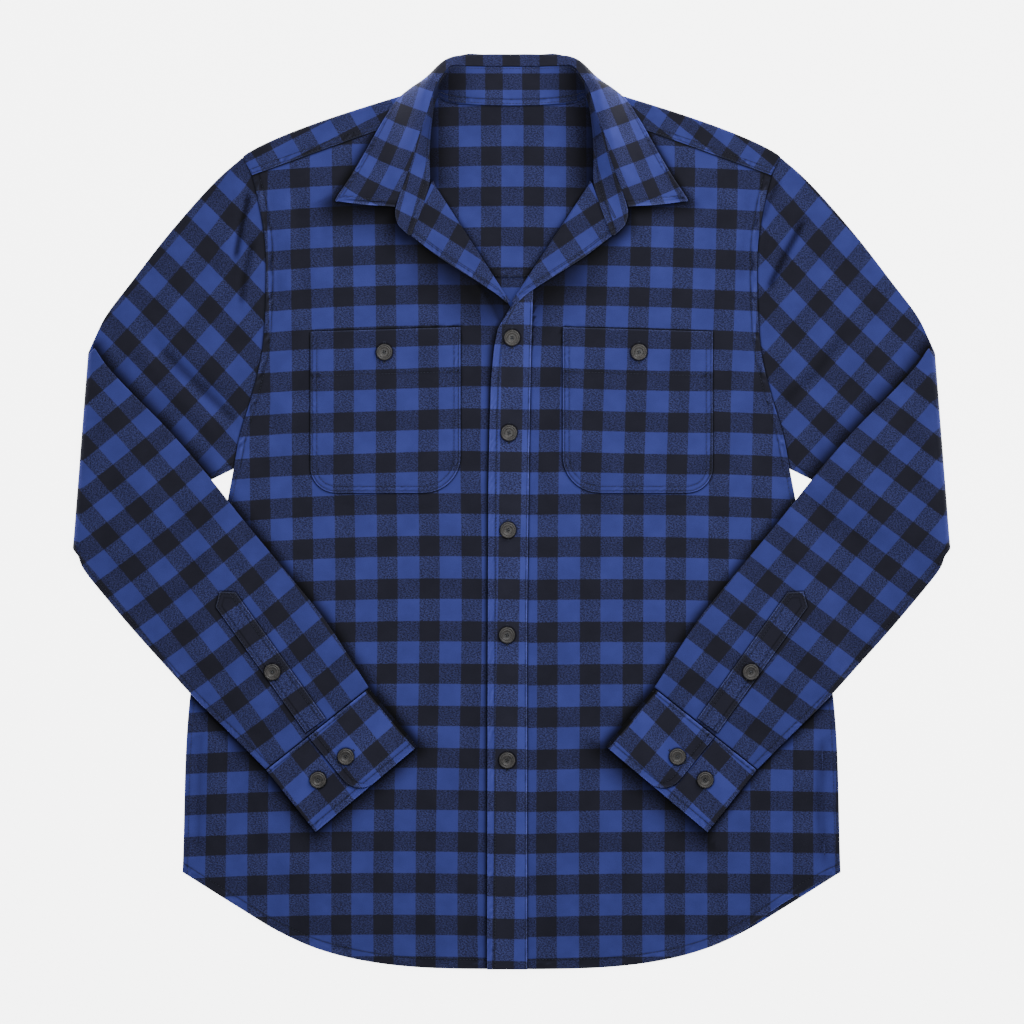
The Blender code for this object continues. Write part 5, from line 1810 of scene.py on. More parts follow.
@dataclass
class Sleeve(SidePiece):
    """A sleeve as a flattened tube, folded over on itself at the elbow."""

    EDGE_TURNS = np.array([0.08, 0.26, 0.5, 0.74, 0.92])
    ENDS = (1.7, 2.6, 3.8, 5, 5.7, 6.6, 8.5)

    def section(self, upper: Array, lower: Array) -> dict[str, Array]:
        """The middle of the flattened wall round one ring.

        Args:
            upper: the ring's upper corner.
            lower: its lower corner.

        Returns:
            The spots, their heights without any swell, each one's share of the way across, whether
            it is on the sleeve's front ply, and its distance from the lower corner.
        """
        width = float(np.linalg.norm(lower - upper))
        along = (lower - upper) / width
        radius = PLY / 2
        inset = radius + WALL / 2
        across = stations(width, self.ENDS, self.ENDS, 62)[0]
        angle = math.pi * self.EDGE_TURNS
        out = inset - radius * np.sin(angle)
        place = np.concatenate([across, width - out, across[::-1], out])
        flat_front, flat_back = np.full(across.shape, PLY + WALL / 2), np.full(across.shape, WALL / 2)
        bend = radius * np.cos(angle)
        height = np.concatenate([flat_front, WALL / 2 + radius + bend, flat_back, WALL / 2 + radius - bend])
        front = np.concatenate([np.ones(len(across)), (angle < 1.5), np.zeros(len(across)), (angle > 1.6)])
        return {
            "spot": upper + place[:, None] * along,
            "height": height,
            "across": np.clip(place / width, 0, 1),
            "front": front > 0.5,
            "from_lower": width - place,
            "from_upper": place,
            "level": np.isin(np.arange(len(place)), np.arange(len(across))),
        }

    def upper_arm(self, mark: float) -> Array:
        """Points round a ring between the armhole and the elbow."""
        x1, y1, x2, y2, bend = upper_arm_rings(mark)
        ring = self.section(np.array([x1, y1]), np.array([x2, y2]))
        spot, height = ring["spot"], ring["height"]
        share = (height - WALL / 2) / PLY
        swell = sleeve_swell(mark, len(UPPER_ARM), ring["across"]) * ring["level"]
        start = mix(np.array([UPPER_ARM[0][:2]]), UPPER_ARM[0][2:4], ring["across"][:, None])
        raised = PLY * bend * step((start[:, 1] - RAISED_FROM) / RAISED_OVER)
        x = spot[:, 0] + bend * (outer_edge(start[:, 1]) + mix(-0.3, GAP, step(mark / 0.05)) - start[:, 0])
        dip = np.minimum(trough(self.sign * x, spot[:, 1]), TROUGH_LIMIT * swell)
        folds = folded(SLEEVE_FOLDS, self.sign * x, spot[:, 1])[0]
        margin = step(ring["from_lower"] / 22) * step(ring["from_upper"] / 16) * ring["level"]
        folds = folds * clear_of_forearm(x, spot[:, 1]) * margin * step(mark / 0.35)
        return stack(self.sign * x, spot[:, 1], height + swell - dip + folds + raised * np.minimum(share, 1))

    def elbow(self, turn: float) -> Array:
        """Points round a ring where the sleeve turns over."""
        round_off = np.array([0, ELBOW_ROUND * math.sin(math.pi * turn)])
        upper = mix(UPPER_ARM[-1][:2], FOREARM[0][:2], turn) - round_off
        lower = mix(UPPER_ARM[-1][2:4], FOREARM[0][2:], turn) + 0.6 * round_off
        ring = self.section(upper, lower)
        reach = ELBOW_HINGE - ring["height"]
        angle = math.pi * turn
        return stack(
            self.sign * (ring["spot"][:, 0] + (reach + 1.2) * math.sin(angle)),
            ring["spot"][:, 1],
            ELBOW_HINGE - reach * math.cos(angle),
        )

    def forearm(self, mark: float) -> Array:
        """Points round a ring between the elbow and the cuff, where the sleeve lies the other way up."""
        x1, y1, x2, y2 = forearm_rings(mark)
        ring = self.section(np.array([x1, y1]), np.array([x2, y2]))
        x, y = ring["spot"].T
        share = np.clip(1 - (ring["height"] - WALL / 2) / PLY, 0, 1)
        swell = sleeve_swell(mark, len(FOREARM), ring["across"]) * share
        over = STRIP_CLEAR.distance(x, y)
        folds = folded(FOREARM_FOLDS, x, y)[0] * step(over / 14) * (share > 0.99)
        to_cuff = len(FOREARM) - 1 - mark
        folds = folds * step(ring["from_lower"] / 22) * step(ring["from_upper"] / 16) * step(to_cuff / 0.6)
        height = forearm_lift(x, y) + PLY + WALL - ring["height"] + swell + folds
        return stack(self.sign * x, y, height)

    def build(self) -> Object:
        """Makes the sleeve."""
        down = np.linspace(0, len(UPPER_ARM) - 1, 84)
        down = np.concatenate([(0, 0.008, 0.025, 0.05), down[1:]])
        turns = np.linspace(0, 1, 15)[1:-1]
        last = len(FOREARM) - 1
        out = np.concatenate([np.linspace(0, last, 104)[:-1], (last - 0.035, last - 0.015, last)])
        rings = [self.upper_arm(mark) for mark in down]
        rings += [self.elbow(turn) for turn in turns]
        rings += [self.forearm(mark) for mark in out]
        middle = np.array(rings)
        ring = self.section(np.array(FOREARM[0][:2]), np.array(FOREARM[0][2:]))
        front, level = ring["front"], ring["level"]
        if self.side is Side.LEFT:
            middle, front, level = middle[:, ::-1], front[::-1], level[::-1]
        normals = grid_normals(middle, around=True)
        head = lengths(middle)
        foot = head[-1] - head
        height = np.maximum(rolled(head, 1.1), -0.9) + np.maximum(rolled(foot, 0.7), -0.5)
        height = height + pucker(head, middle[..., 1], 3, 0.10, 9) * (head < 60)
        lower = self.section(np.array([0, 180]), np.array([0, 0]))["from_lower"]
        lower = lower[::-1] if self.side is Side.LEFT else lower
        lower = np.broadcast_to(lower, height.shape)
        height = height + channel(lower, UNDERARM_STITCHES, 0.16, 0.7)
        height = height + 0.10 * (1 - step((lower - UNDERARM_STITCHES) / 1.6))
        height = height + pucker(lower, head, UNDERARM_STITCHES, 0.08, 9)
        outer, inner = both_faces(middle, normals, WALL, height)
        outer[..., 2], inner[..., 2] = np.maximum(outer[..., 2], 0), np.maximum(inner[..., 2], 0.05)
        threads, other = self.charts(middle, len(down), turns)
        faces = ~(front & np.roll(front, -1))
        # Wear and a painted highlight at the armhole and the cuff, painted shade in the underarm seam's channel,
        # and painted shade in the troughs of the upper arm's creases.
        wear = 0.35 * bell(head / 0.9) + 0.4 * bell(foot / 0.9) + edge_wear_and_painted_light(lower, 0.2, UNDERARM_STITCHES)
        wear = wear + painted_seam_mottle(lower, head, 4, 2.4)
        folds = folded(SLEEVE_FOLDS, middle[..., 0], middle[..., 1])[0]
        wear = wear + 0.36 * np.minimum(folds, 0) * (np.arange(len(middle)) < len(down))[:, None]
        half_x, y = np.abs(middle[..., 0]), middle[..., 1]
        upper = np.arange(len(middle))[:, None] < len(down)
        # Painted shade beside the forearm and the armhole on the upper arm, and beside the strip and the cuff on
        # the forearm.
        clear = np.where(
            upper,
            painted_shade_clearance((FOREARM_OUTLINE.distance(half_x, y), 8.5), (head, 1.4)),
            painted_shade_clearance((STRIP_CLEAR.distance(half_x, y), 1.1), (foot, 1)),
        )
        index = int(np.nonzero(~front & (np.abs(lower[0] - UNDERARM_STITCHES) < 0.01))[0][0])
        self.thread.sew(outer[len(down) + len(turns) + 2:, index])
        faces = np.broadcast_to(faces, (len(outer) - 1, len(faces)))
        shell = Shell(outer, inner, threads, wear, clear, True, other, faces)
        return lay_cloth(f"sleeve_{self.side.label}", self.finishes.sleeve, "flannel_sleeve", shell)

    def charts(self, middle: Array, down: int, turns: Array) -> tuple[Array, Array]:
        """Check coordinates for the sleeve's two plies, each continued past the elbow as if unfolded."""
        sign = self.sign
        start = np.array([sign * UPPER_ARM[-1][0], (UPPER_ARM[-1][1] + FOREARM[0][1]) / 2])
        end = np.array([sign * UPPER_ARM[-1][2], (UPPER_ARM[-1][3] + FOREARM[0][3]) / 2])
        along = (end - start) / np.linalg.norm(end - start)
        outward = np.array([-along[1], along[0]]) * sign
        flat = middle[..., :2]
        mirrored = flat - 2 * ((flat - start) @ outward)[..., None] * outward
        past = np.concatenate([np.ones(down), 1 - turns, np.zeros(len(middle) - down - len(turns))])[:, None, None]
        arc = 13
        _, drag_x, drag_y = folded(SLEEVE_FOLDS, flat[..., 0], flat[..., 1])
        on_front = np.where(past == 1, flat - stack(drag_x, drag_y), mirrored)
        on_back = np.where(past == 0, flat, mirrored + outward * arc * past)
        on_front = np.where((past > 0) & (past < 1), flat[down - 1][None], on_front)
        between = (past > 0) & (past < 1)
        on_back = np.where(between, flat[down + len(turns)][None] + outward * arc * past, on_back)
        return UPPER_ARM_GRAIN[self.side].threads(on_front), FOREARM_GRAIN[self.side].threads(on_back)


def strip_corner(row: float, across: float) -> tuple[float, float]:
    """A place on the strip over a sleeve's opening: shares of the way down, and across from -1 to 1."""
    run = np.subtract(STRIP_FOOT, STRIP_TOP)
    over = unit(np.array([run[1], -run[0]]))
    point = STRIP_POINT * (1 - row) * (1 - abs(across)) / np.linalg.norm(run)
    return tuple(np.array(STRIP_TOP) + run * (row - point) + over * across * STRIP_WIDTH / 2)


STRIP_CLEAR = Outline([strip_corner(row, across) for row, across in ((0, -1), (0, 0), (0, 1), (1, 1), (1, -1))])


@dataclass
class SleeveStrip(SidePiece):
    """The pointed strip over a sleeve's opening."""

    def build(self) -> Object:
        """Makes the strip."""
        run = np.subtract(STRIP_FOOT, STRIP_TOP)
        length = float(np.linalg.norm(run))
        over = unit(np.array([run[1], -run[0]]))
        near = (0, 0.12, 0.4, 0.9, 1.6, 2.4, 3.4, 4.8)
        across = stations(STRIP_WIDTH, near, near, 7)[0]
        down = stations(length, (0, 0.12, 0.4, 0.9, 1.6, 2.4, 3.6, 5, 6.5, 8), (0, 0.3, 1), 70)[0]
        sway = across * 2 / STRIP_WIDTH - 1
        row = down[:, None] / length
        point = STRIP_POINT * (1 - row) * (1 - np.abs(sway)[None])
        x, y = (
            start + along * (down[:, None] - point) / length + out * (across - STRIP_WIDTH / 2)
            for start, along, out in zip(STRIP_TOP, run, over)
        )
        side_off = np.minimum(across, STRIP_WIDTH - across)[None] + 0 * x
        slant = math.cos(math.atan(2 * STRIP_POINT / STRIP_WIDTH))
        off = np.minimum(side_off, down[:, None] * slant)
        low = forearm_top(x, y) + STRIP_SEAT
        height = edge_relief(off, down[:, None] + 0 * x, STRIP_STITCHES, 0.06)
        height = height + 0.05 * smoothed_noise(x * 2, y * 2, 40, 3.1)
        outer = stack(x, y, low + UPPER_FACE + height)
        inner = stack(x, y, low + LOWER_FACE)
        wear = edge_wear_and_painted_light(off, 0.85, *STRIP_STITCHES, width=0.5) + painted_seam_mottle(off, down[:, None] + 0 * x, 3.2, 1.8)
        # Painted shade round the button.
        clear = button_painted_shade_clearance(x, y, [STRIP_BUTTON])
        self.sew(*(outer[4:, column] for column in (4, -5, -8)), *(outer[line, 4:-4] for line in (4, 46)))
        outer, inner = outer * (self.sign, 1, 1), inner * (self.sign, 1, 1)
        if grid_normals(outer)[..., 2].mean() < 0:
            outer, inner, wear, clear = (grid[:, ::-1] for grid in (outer, inner, wear, clear))
        shell = Shell(outer, inner, STRIP_GRAIN[self.side].threads(outer), wear, clear)
        return lay_cloth(f"sleeve_strip_{self.side.label}", self.finishes.trim, "flannel_trim", shell)


@dataclass
class Cuff(SidePiece):
    """A cuff as one band wound round the wrist, its rounded end lapped over the other."""

    @staticmethod
    def path(width: float) -> Array:
        """The middle of the band across the wrist, as (place, height, share of the upper lap)."""
        level = CUFF_WALL + GAP
        bottom = CUFF_WALL / 2
        turns = np.linspace(0, 1, 9)[1:-1] * math.pi
        under = CUFF_UNDERLAP * width + np.array([0, 0.2, 0.7, 1.6])
        rows = [(place, bottom + level, 0) for place in (*under, *np.linspace(under[-1] + 3, 0.97 * width, 26))]
        for angle in turns:
            place = width - level / 2 - CUFF_WALL / 2 + level / 2 * math.sin(angle)
            rows.append((place, bottom + level / 2 * (1 + math.cos(angle)), 0))
        rows += [(share * width, bottom, 0) for share in np.linspace(0.97, 0.04, 14)]
        for angle in turns:
            place = level + CUFF_WALL / 2 - level * math.sin(angle)
            rows.append((place, bottom + level * (1 - math.cos(angle)), 0))
        tab = CUFF_LAP * width
        ends = tab - np.array([9, 7.4, 6.4, 5.4, 4, 2.6, 1.6, 0.9, 0.4, 0.1, 0])
        rows += [(place, bottom + 2 * level, 1) for place in (*np.linspace(0.04 * width, ends[0] - 2, 26), *ends)]
        return np.array(rows)

    def build(self) -> Object:
        """Makes the cuff."""
        width = float(np.linalg.norm(np.subtract(*CUFF_SEAM)))
        depth = float(np.linalg.norm(np.subtract(CUFF_EDGE[0], CUFF_SEAM[0])))
        path = self.path(width)
        near, far = (0, 0.15, 0.5, 1, 1.8, 2.6, 4), (0, 0.12, 0.4, 0.9, 1.6, 2.6, 4, 5.2, 6, 6.9, 8.4)
        down = stations(depth, near, far, 22)[0]
        rounded = CUFF_CORNER - np.sqrt(CUFF_CORNER**2 - np.maximum(down - depth + CUFF_CORNER, 0) ** 2)
        give = np.interp(path[:, 0] / width, (0.2, CUFF_LAP), (0, 1)) * (path[:, 2] > 0)
        place = path[None, :, 0] - rounded[:, None] * give[None]
        share, row = (place / width)[..., None], (down / depth)[:, None, None]
        seam = mix(np.array(CUFF_SEAM[0]), np.array(CUFF_SEAM[1]), share)
        edge = mix(np.array(CUFF_EDGE[0]), np.array(CUFF_EDGE[1]), share)
        spot = mix(seam, edge, row)
        middle = stack(self.sign * spot[..., 0], spot[..., 1], FOREARM_LIFT + path[None, :, 1] + 0 * spot[..., 0])
        path_top = path[:, 2] > 0
        lap_end = CUFF_LAP * width - rounded[:, None] + 0 * place
        # Painted shade on the underlap beside the end of the upper lap, and round the buttons.
        clear = painted_shade_clearance(
            (np.where(path_top, 99, path[None, :, 0] - lap_end), 1.6),
            (button_painted_shade_clearance(spot[..., 0], spot[..., 1], [CUFF_BUTTON, CUFF_SPARE_BUTTON]), 1),
        )
        if self.side is Side.RIGHT:
            middle, path_top, clear = middle[:, ::-1], path_top[::-1], clear[:, ::-1]
        normals = grid_normals(middle)
        top_up = normals[:, path_top][..., 2].mean()
        if top_up < 0:
            middle, path_top, clear = middle[:, ::-1], path_top[::-1], clear[:, ::-1]
            normals = grid_normals(middle)
        lap = lengths(middle, axis=1)
        lap_off, under_off = (lap[:, -1:] - lap, lap) if path_top[-1] else (lap, lap[:, -1:] - lap)
        tab_off = np.where(path_top, lap_off, 1e3)
        hem_off = (depth - down)[:, None] + 0 * lap
        seam_off = down[:, None] + 0 * lap
        off = np.minimum(tab_off, hem_off)
        height = rolled(off, 0.75) + rolled(seam_off, 0.7) + np.maximum(rolled(under_off, 0.6), -0.5)
        around = lap + down[:, None]
        height = height + channel(off, CUFF_STITCHES, 0.22, 0.7)
        height = height + pucker(off, around, CUFF_STITCHES, 0.09, 8)
        height = height + channel(seam_off, CUFF_SEAM_STITCHES, 0.18, 0.5)
        height = height + pucker(seam_off, lap, CUFF_SEAM_STITCHES, 0.08, 8)
        outer, inner = both_faces(middle, normals, CUFF_WALL, height)
        wear = edge_wear_and_painted_light(off, 0.75, CUFF_STITCHES) + edge_wear_and_painted_light(seam_off, 0.6, CUFF_SEAM_STITCHES, width=0.5)
        wear = wear + painted_seam_mottle(off, around, 3.4, 3) + painted_seam_mottle(seam_off, lap, 1.8, 1.8)
        faces = np.broadcast_to(path_top[1:] & path_top[:-1], (len(outer) - 1, len(path_top) - 1))
        under, upper = (grain[self.side].threads(outer) for grain in (CUFF_UNDER_GRAIN, CUFF_GRAIN))
        self.stitch(outer, path_top, down, depth, lap_off)
        shell = Shell(outer, inner, under, wear, clear, False, upper, faces)
        return lay_cloth(f"cuff_{self.side.label}", self.finishes.trim, "flannel_trim", shell)

    def stitch(self, outer: Array, top: Array, down: Array, depth: float, lap_off: Array) -> None:
        """Sews the line inside the free edges and the one along the seam."""
        hem, seam = nearest(depth - down, CUFF_STITCHES), nearest(down, CUFF_SEAM_STITCHES)
        order = np.argsort(-lap_off[0])
        cells = [column for column in order if top[column]]
        tab = min(cells, key=lambda column: abs(lap_off[hem // 2, column] - 6.4))
        inside = [column for column in cells if lap_off[hem, column] >= lap_off[hem, tab] - 0.01]
        under = [column for column in order if not top[column] and outer[hem, column, 2] > FOREARM_LIFT + 2.4]
        self.thread.sew(
            outer[hem, inside], outer[: hem + 1, tab], outer[seam, cells], outer[hem, under], outer[seam, under]
        )



LEAF_GRAIN = {
    Side.RIGHT: Grain((-102.2, 379), -107.13, -28.36, (25.09, 36.64), -13.03, -32.69),
    Side.LEFT: Grain((92.1, 335), -66.61, -159.39, (24.73, 35.87), 1.78, 9.73),
}
STAND_GRAIN = {
    Side.RIGHT: Grain((-83.6, 310.6), -104.8, -26, (21.4, 34.6)),
    Side.LEFT: Grain((83.5, 310.4), -75.5, -151.2, (19.6, 37)),
}
ROLL_GRAIN = Grain((-17, 420.5), 90, 0, (33.4, 37))
STAND_BACK_GRAIN = Grain((0.8, 371.5), 90, 0, (33.3, 31))


def by_side(grains: dict[Side, Grain], points: Array) -> Array:
    """Check coordinates from the grain of the side that each place is on."""
    right, left = (grains[side].threads(points) for side in Side)
    return np.where(points[..., :1] < 0, right, left)


@dataclass
class Collar:
    """The collar: a stand round the neck, and the leaf that rolls over it and down onto the shirt."""

    finishes: Finishes
    thread: Thread

    @staticmethod
    def rows(half: Sequence[Sequence[Sequence[float]]], marks: Array) -> Array:
        """Rows of a table over both sides, at marks that count from the middle of the back."""
        table = [(i, *np.ravel(row)) for i, row in enumerate(half)]
        mirror = np.tile((-1, 1, 1), len(half[0]))
        table = [(-i, *(np.ravel(row) * mirror)) for i, row in list(enumerate(half))[:0:-1]] + table
        return Curve(table)(marks).reshape(len(marks), -1, 3)

    @staticmethod
    def both_ways(*marks: Array) -> Array:
        """Marks on both sides, from those of one."""
        half = np.concatenate(marks)
        return np.concatenate([-half[::-1], [0], half])

    @staticmethod
    def at_back(marks: Array, limit: float, columns: int) -> Array:
        """Which faces between rows at marks lie at the back, within a limit of its middle."""
        near = np.abs(marks[1:] + marks[:-1]) / 2 < limit
        return np.broadcast_to(near[:, None], (len(near), columns - 1))

    def stand(self) -> Object:
        """Makes the stand."""
        half = [row[:2] for row in COLLAR] + [list(row) for row in STAND_END]
        last = len(half) - 1
        marks = self.both_ways(np.linspace(0, last - 1, 92)[1:], last - np.array([0.6, 0.35, 0.18, 0.08, 0.02, 0]))
        rows = self.rows(half, marks)
        low, high = rows[:, 0], rows[:, 1]
        width = np.linalg.norm(high - low, axis=1)
        ends = (0, 0.12, 0.4, 0.9, 1.6, 2.6, 4.2, 5.4)
        up = np.minimum(stations(width, ends, ends, 12), width[:, None])
        up = np.sort(np.maximum(up, 0), axis=1)
        middle = low[:, None] + (high - low)[:, None] * (up / width[:, None])[..., None]
        normals = grid_normals(middle)
        free = width[:, None] - up
        end_off = np.abs(np.abs(marks) - last)[:, None] * 6 + 0 * free
        off = np.minimum(free, end_off)
        along = lengths(high)[:, None]
        height = rolled(off, 0.6) + channel(up, STAND_STITCHES, 0.2, 0.6)
        height = height + channel(free, STAND_TOP_STITCHES, 0.14, 0.5)
        height = height + pucker(up, along, STAND_STITCHES, 0.08, 9)
        outer, inner = both_faces(middle, normals, COLLAR_WALL, height)
        wear = edge_wear_and_painted_light(off, 0.75) * (np.abs(marks)[:, None] > 9.5)
        wear = wear + edge_wear_and_painted_light(up, 0.15, STAND_STITCHES) + painted_seam_mottle(up, along, 3, 3)
        self.thread.sew(*(outer[4:-4, column] + normals[4:-4, column] * 0.02 for column in (7, 4)), outer[:, -5])
        places = outer.reshape(-1, 3)

        def surface(x: Array, y: Array) -> Array:
            """Height of the stand at places on its front end."""
            return places[np.hypot(places[:, 0] - x[:, None], places[:, 1] - y[:, None]).argmin(axis=1), 2]

        Buttonhole((89, 272), -63, surface, 17).sew(self.thread)
        # Painted shade: the stand's face is darkened towards the sides of the neck, where the leaf rolls over it.
        clear = np.where(np.abs(marks)[:, None] < 5.2, (70 - np.abs(middle[..., 0])) / 26, 1)
        clear = np.where(np.abs(marks)[:, None] > 7, 9, np.maximum(clear, 0.35))
        threads, other = by_side(STAND_GRAIN, middle), STAND_BACK_GRAIN.threads(middle)
        shell = Shell(outer, inner, threads, wear, clear, False, other, self.at_back(marks, 4.5, off.shape[1]))
        return lay_cloth("collar_stand", self.finishes.trim, "flannel_trim", shell)

    def leaf(self) -> Object:
        """Makes the leaf."""
        half = [row[1:] for row in COLLAR] + [LEAF_FRONT]
        last = len(half) - 1
        front = last - 1 + np.array([0.15, 0.3, 0.42, 0.54, 0.66, 0.78, 0.88, 0.94, 0.975, 0.99, 1])
        marks = self.both_ways(np.linspace(0, last - 1, 100)[1:], front)
        seam, crest, fall, edge = np.moveaxis(self.rows(half, marks), 1, 0)
        upright = step(seam[:, 2:] / UPRIGHT)
        start = seam + LEAF_START * np.concatenate([0 * upright, 1 - upright, upright], axis=1)
        start = start + unit(crest - seam) * GAP
        near, far = (0, 0.15, 0.5, 1.1, 2), (0, 0.12, 0.4, 0.9, 1.6, 2.6, 3.8, 5.2, 6.2, 7.6)
        grid, edge_off = [], []
        for stops in zip(start, crest, fall, edge):
            stops = np.array(stops)
            keys = lengths(stops)
            fine = Curve(np.column_stack([keys, stops]))(np.linspace(0, keys[-1], 60))
            run = lengths(fine)
            places = np.sort(np.clip(stations(run[-1], near, far, 20)[0], 0, run[-1]))
            grid.append(np.stack([np.interp(places, run, fine[:, i]) for i in range(3)], axis=-1))
            edge_off.append(run[-1] - places)
        middle, edge_off = np.array(grid), np.array(edge_off)
        normals = grid_normals(middle)
        front_off = from_line(np.abs(middle[..., 0]), middle[..., 1], LEAF_FRONT[0][:2], LEAF_FRONT[3][:2])
        front_off = np.where(np.abs(marks)[:, None] > 8, front_off, 1e3)
        off = np.minimum(edge_off, front_off)
        along = lengths(edge)[:, None]
        height = edge_relief(off, along, (LEAF_STITCHES,), 0.14)
        height = height + 0.12 * smoothed_noise(middle[..., 0] * 2, middle[..., 1] * 2, 60, 0.4) * step(off / 10)
        outer, inner = both_faces(middle, normals, WALL, height)
        outer[..., 2], inner[..., 2] = np.maximum(outer[..., 2], 0.02), np.maximum(inner[..., 2], 0.02)
        wear = edge_wear_and_painted_light(off, 0.95, 3, 5.4, width=0.7) + 1.4 * painted_seam_mottle(off, along, 3, 2.6)
        column = nearest(edge_off[len(marks) // 2], LEAF_STITCHES)
        self.thread.sew(outer[front_off[:, column] >= 5, column])
        for sign in (-1, 1):
            self.sew_front(outer, front_off, edge_off, marks, sign)
        threads, other = by_side(LEAF_GRAIN, middle), ROLL_GRAIN.threads(middle)
        back = self.at_back(marks, 4.4, off.shape[1])
        shell = Shell(outer, inner, threads, wear, other=other, other_faces=back)
        return lay_cloth("collar_leaf", self.finishes.trim, "flannel_trim", shell)

    def sew_front(self, outer: Array, front_off: Array, edge_off: Array, marks: Array, sign: int) -> None:
        """Sews the line inside the leaf's front edge on one side."""
        rows = np.nonzero(marks * sign > 8.5)[0]
        path = []
        for column in range(outer.shape[1]):
            if edge_off[rows[0], column] < 5.1:
                continue
            best = rows[nearest(front_off[rows, column], LEAF_STITCHES)]
            if abs(front_off[best, column] - LEAF_STITCHES) < 1.6 and outer[best, column, 2] < 15:
                path.append(outer[best, column])
        if len(path) > 3:
            self.thread.sew(np.array(path))

    def build(self) -> tuple[Object, Object]:
        """Makes both parts of the collar."""
        return self.stand(), self.leaf()


@dataclass
class Button:
    """A turned button with a rim, a ring, a dished middle and four holes, sewn on with thread.

    Attributes:
        node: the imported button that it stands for.
        place: its middle, as (x, y).
        surface: the height of the cloth under places.
        turn: how far it is turned, in degrees.
    """

    node: str
    place: tuple[float, float]
    surface: Callable[[Array, Array], Array]
    turn: float = 0.0

    RADIUS = 7.5
    SEAT = 0.35
    SIDES = 56
    HOLES = 0.95
    PROFILE = (
        (6.2, 0), (6.9, 0.25), (7.35, 0.75), (7.5, 1.3), (7.45, 1.9), (7.2, 2.35), (6.85, 2.65), (6.45, 2.8),
        (6.05, 2.75), (5.75, 2.5), (5.55, 2.25), (5.25, 2.2), (4.95, 2.35), (4.7, 2.45), (4.4, 2.4), (4, 2.15),
        (3.6, 1.95), (3.2, 1.85), (2.8, 1.8), (2.5, 1.8), (2.25, 1.8), (2, 1.8), (1.75, 1.8), (1.5, 1.8),
        (1.25, 1.8), (1, 1.8), (0.75, 1.8), (0.5, 1.82), (0.25, 1.84),
    )

    def build(self, finishes: Finishes, thread: Thread) -> Object:
        """Makes the button and sews it on.

        Args:
            finishes: the shirt's materials.
            thread: the sewing that its stitches join.

        Returns:
            The button.
        """
        x, y = self.place
        reach = self.RADIUS
        slope_x = float(self.surface(x + reach, y) - self.surface(x - reach, y)) / (2 * reach)
        slope_y = float(self.surface(x, y + reach) - self.surface(x, y - reach)) / (2 * reach)
        base = float(self.surface(x, y)) + self.SEAT
        radius, rise = np.array(self.PROFILE).T[..., None]
        angle = 2 * math.pi * np.arange(self.SIDES) / self.SIDES
        across, up = radius * np.cos(angle), radius * np.sin(angle)
        turn = math.radians(45 + self.turn) + np.arange(4) * math.pi / 2
        holes = np.stack([self.HOLES * np.cos(turn), self.HOLES * np.sin(turn)], axis=-1)
        near = np.min([np.hypot(across - hx, up - hy) for hx, hy in holes], axis=0)
        pits = 1.1 * (1 - step((near - 0.25) / 0.35)) * (radius < 3)
        heights = rise - pits + slope_x * across + slope_y * up
        points = stack(x + across, y + up, base + heights).reshape(-1, 3)
        number = np.arange(len(points)).reshape(len(self.PROFILE), self.SIDES)
        after = np.roll(number, -1, axis=1)
        quads = np.stack([number[:-1], after[:-1], after[1:], number[1:]], axis=-1).reshape(-1, 4)
        faces = quads.tolist() + [number[0][::-1].tolist()]
        faces += [(int(a), int(b), len(points)) for a, b in zip(number[-1], after[-1])]
        data = bpy.data.meshes.new(self.node + "_turned")
        data.from_pydata((np.concatenate([points, [(x, y, base + 1.85)]]) * MM).tolist(), [], faces)
        # Painted shade in the ring round the holes and at the rim, carried to the material.
        painted_groove_shade = np.maximum(bell((radius - 1.95) / 0.8), 0.7 * bell((radius - 7.45) / 0.35)) + 0 * across
        data.attributes.new("painted_groove_shade", "FLOAT", "POINT")
        data.attributes["painted_groove_shade"].data.foreach_set("value", np.append(painted_groove_shade.ravel(), 0.2).astype(np.float32))
        spots = [np.array([x + hx, y + hy, base + 1.75 + slope_x * hx + slope_y * hy]) for hx, hy in holes]
        for first, last in ((0, 2), (1, 3)):
            run = unit(spots[last] - spots[first])
            aside = np.array([-run[1], run[0], 0]) * 0.16
            for shift in (-aside, aside):
                thread.add_stitches((spots[first] + shift)[None], (spots[last] + shift)[None], 0.42)
        return add_piece(data, finishes.button, "button_plastic", self.node)


@dataclass(frozen=True)
class Buttonhole:
    """A sewn slit, worked over along both sides and barred at its ends.

    Attributes:
        middle: its middle, as (x, y).
        way: the way it runs, in degrees.
        surface: the height of the cloth at places.
        length: how long it is.
    """

    middle: tuple[float, float]
    way: float
    surface: Callable[[Array, Array], Array]
    length: float = 18.5

    def sew(self, thread: Thread) -> None:
        """Adds its stitches to a piece of sewing."""
        angle = math.radians(self.way)
        along, aside = np.array([math.cos(angle), math.sin(angle)]), np.array([-math.sin(angle), math.cos(angle)])
        marks = np.arange(-self.length / 2, self.length / 2, 0.42)
        for side in (-1, 1):
            first = np.array(self.middle) + along * marks[:, None] + aside * 0.22 * side
            last = first + aside * 1 * side
            thread.add_stitches(self.lifted(first), self.lifted(last), 0.46)
        for end in (-1, 1):
            first = np.array([self.middle]) + along * (self.length / 2 * end) - aside * 1.25
            for shift in (0, 0.4):
                low = first + along * shift * end
                thread.add_stitches(self.lifted(low), self.lifted(low + aside * 2.5), 0.5)

    def lifted(self, places: Array) -> Array:
        """Places on the cloth's upper face."""
        return np.column_stack([places, self.surface(places[:, 0], places[:, 1])])


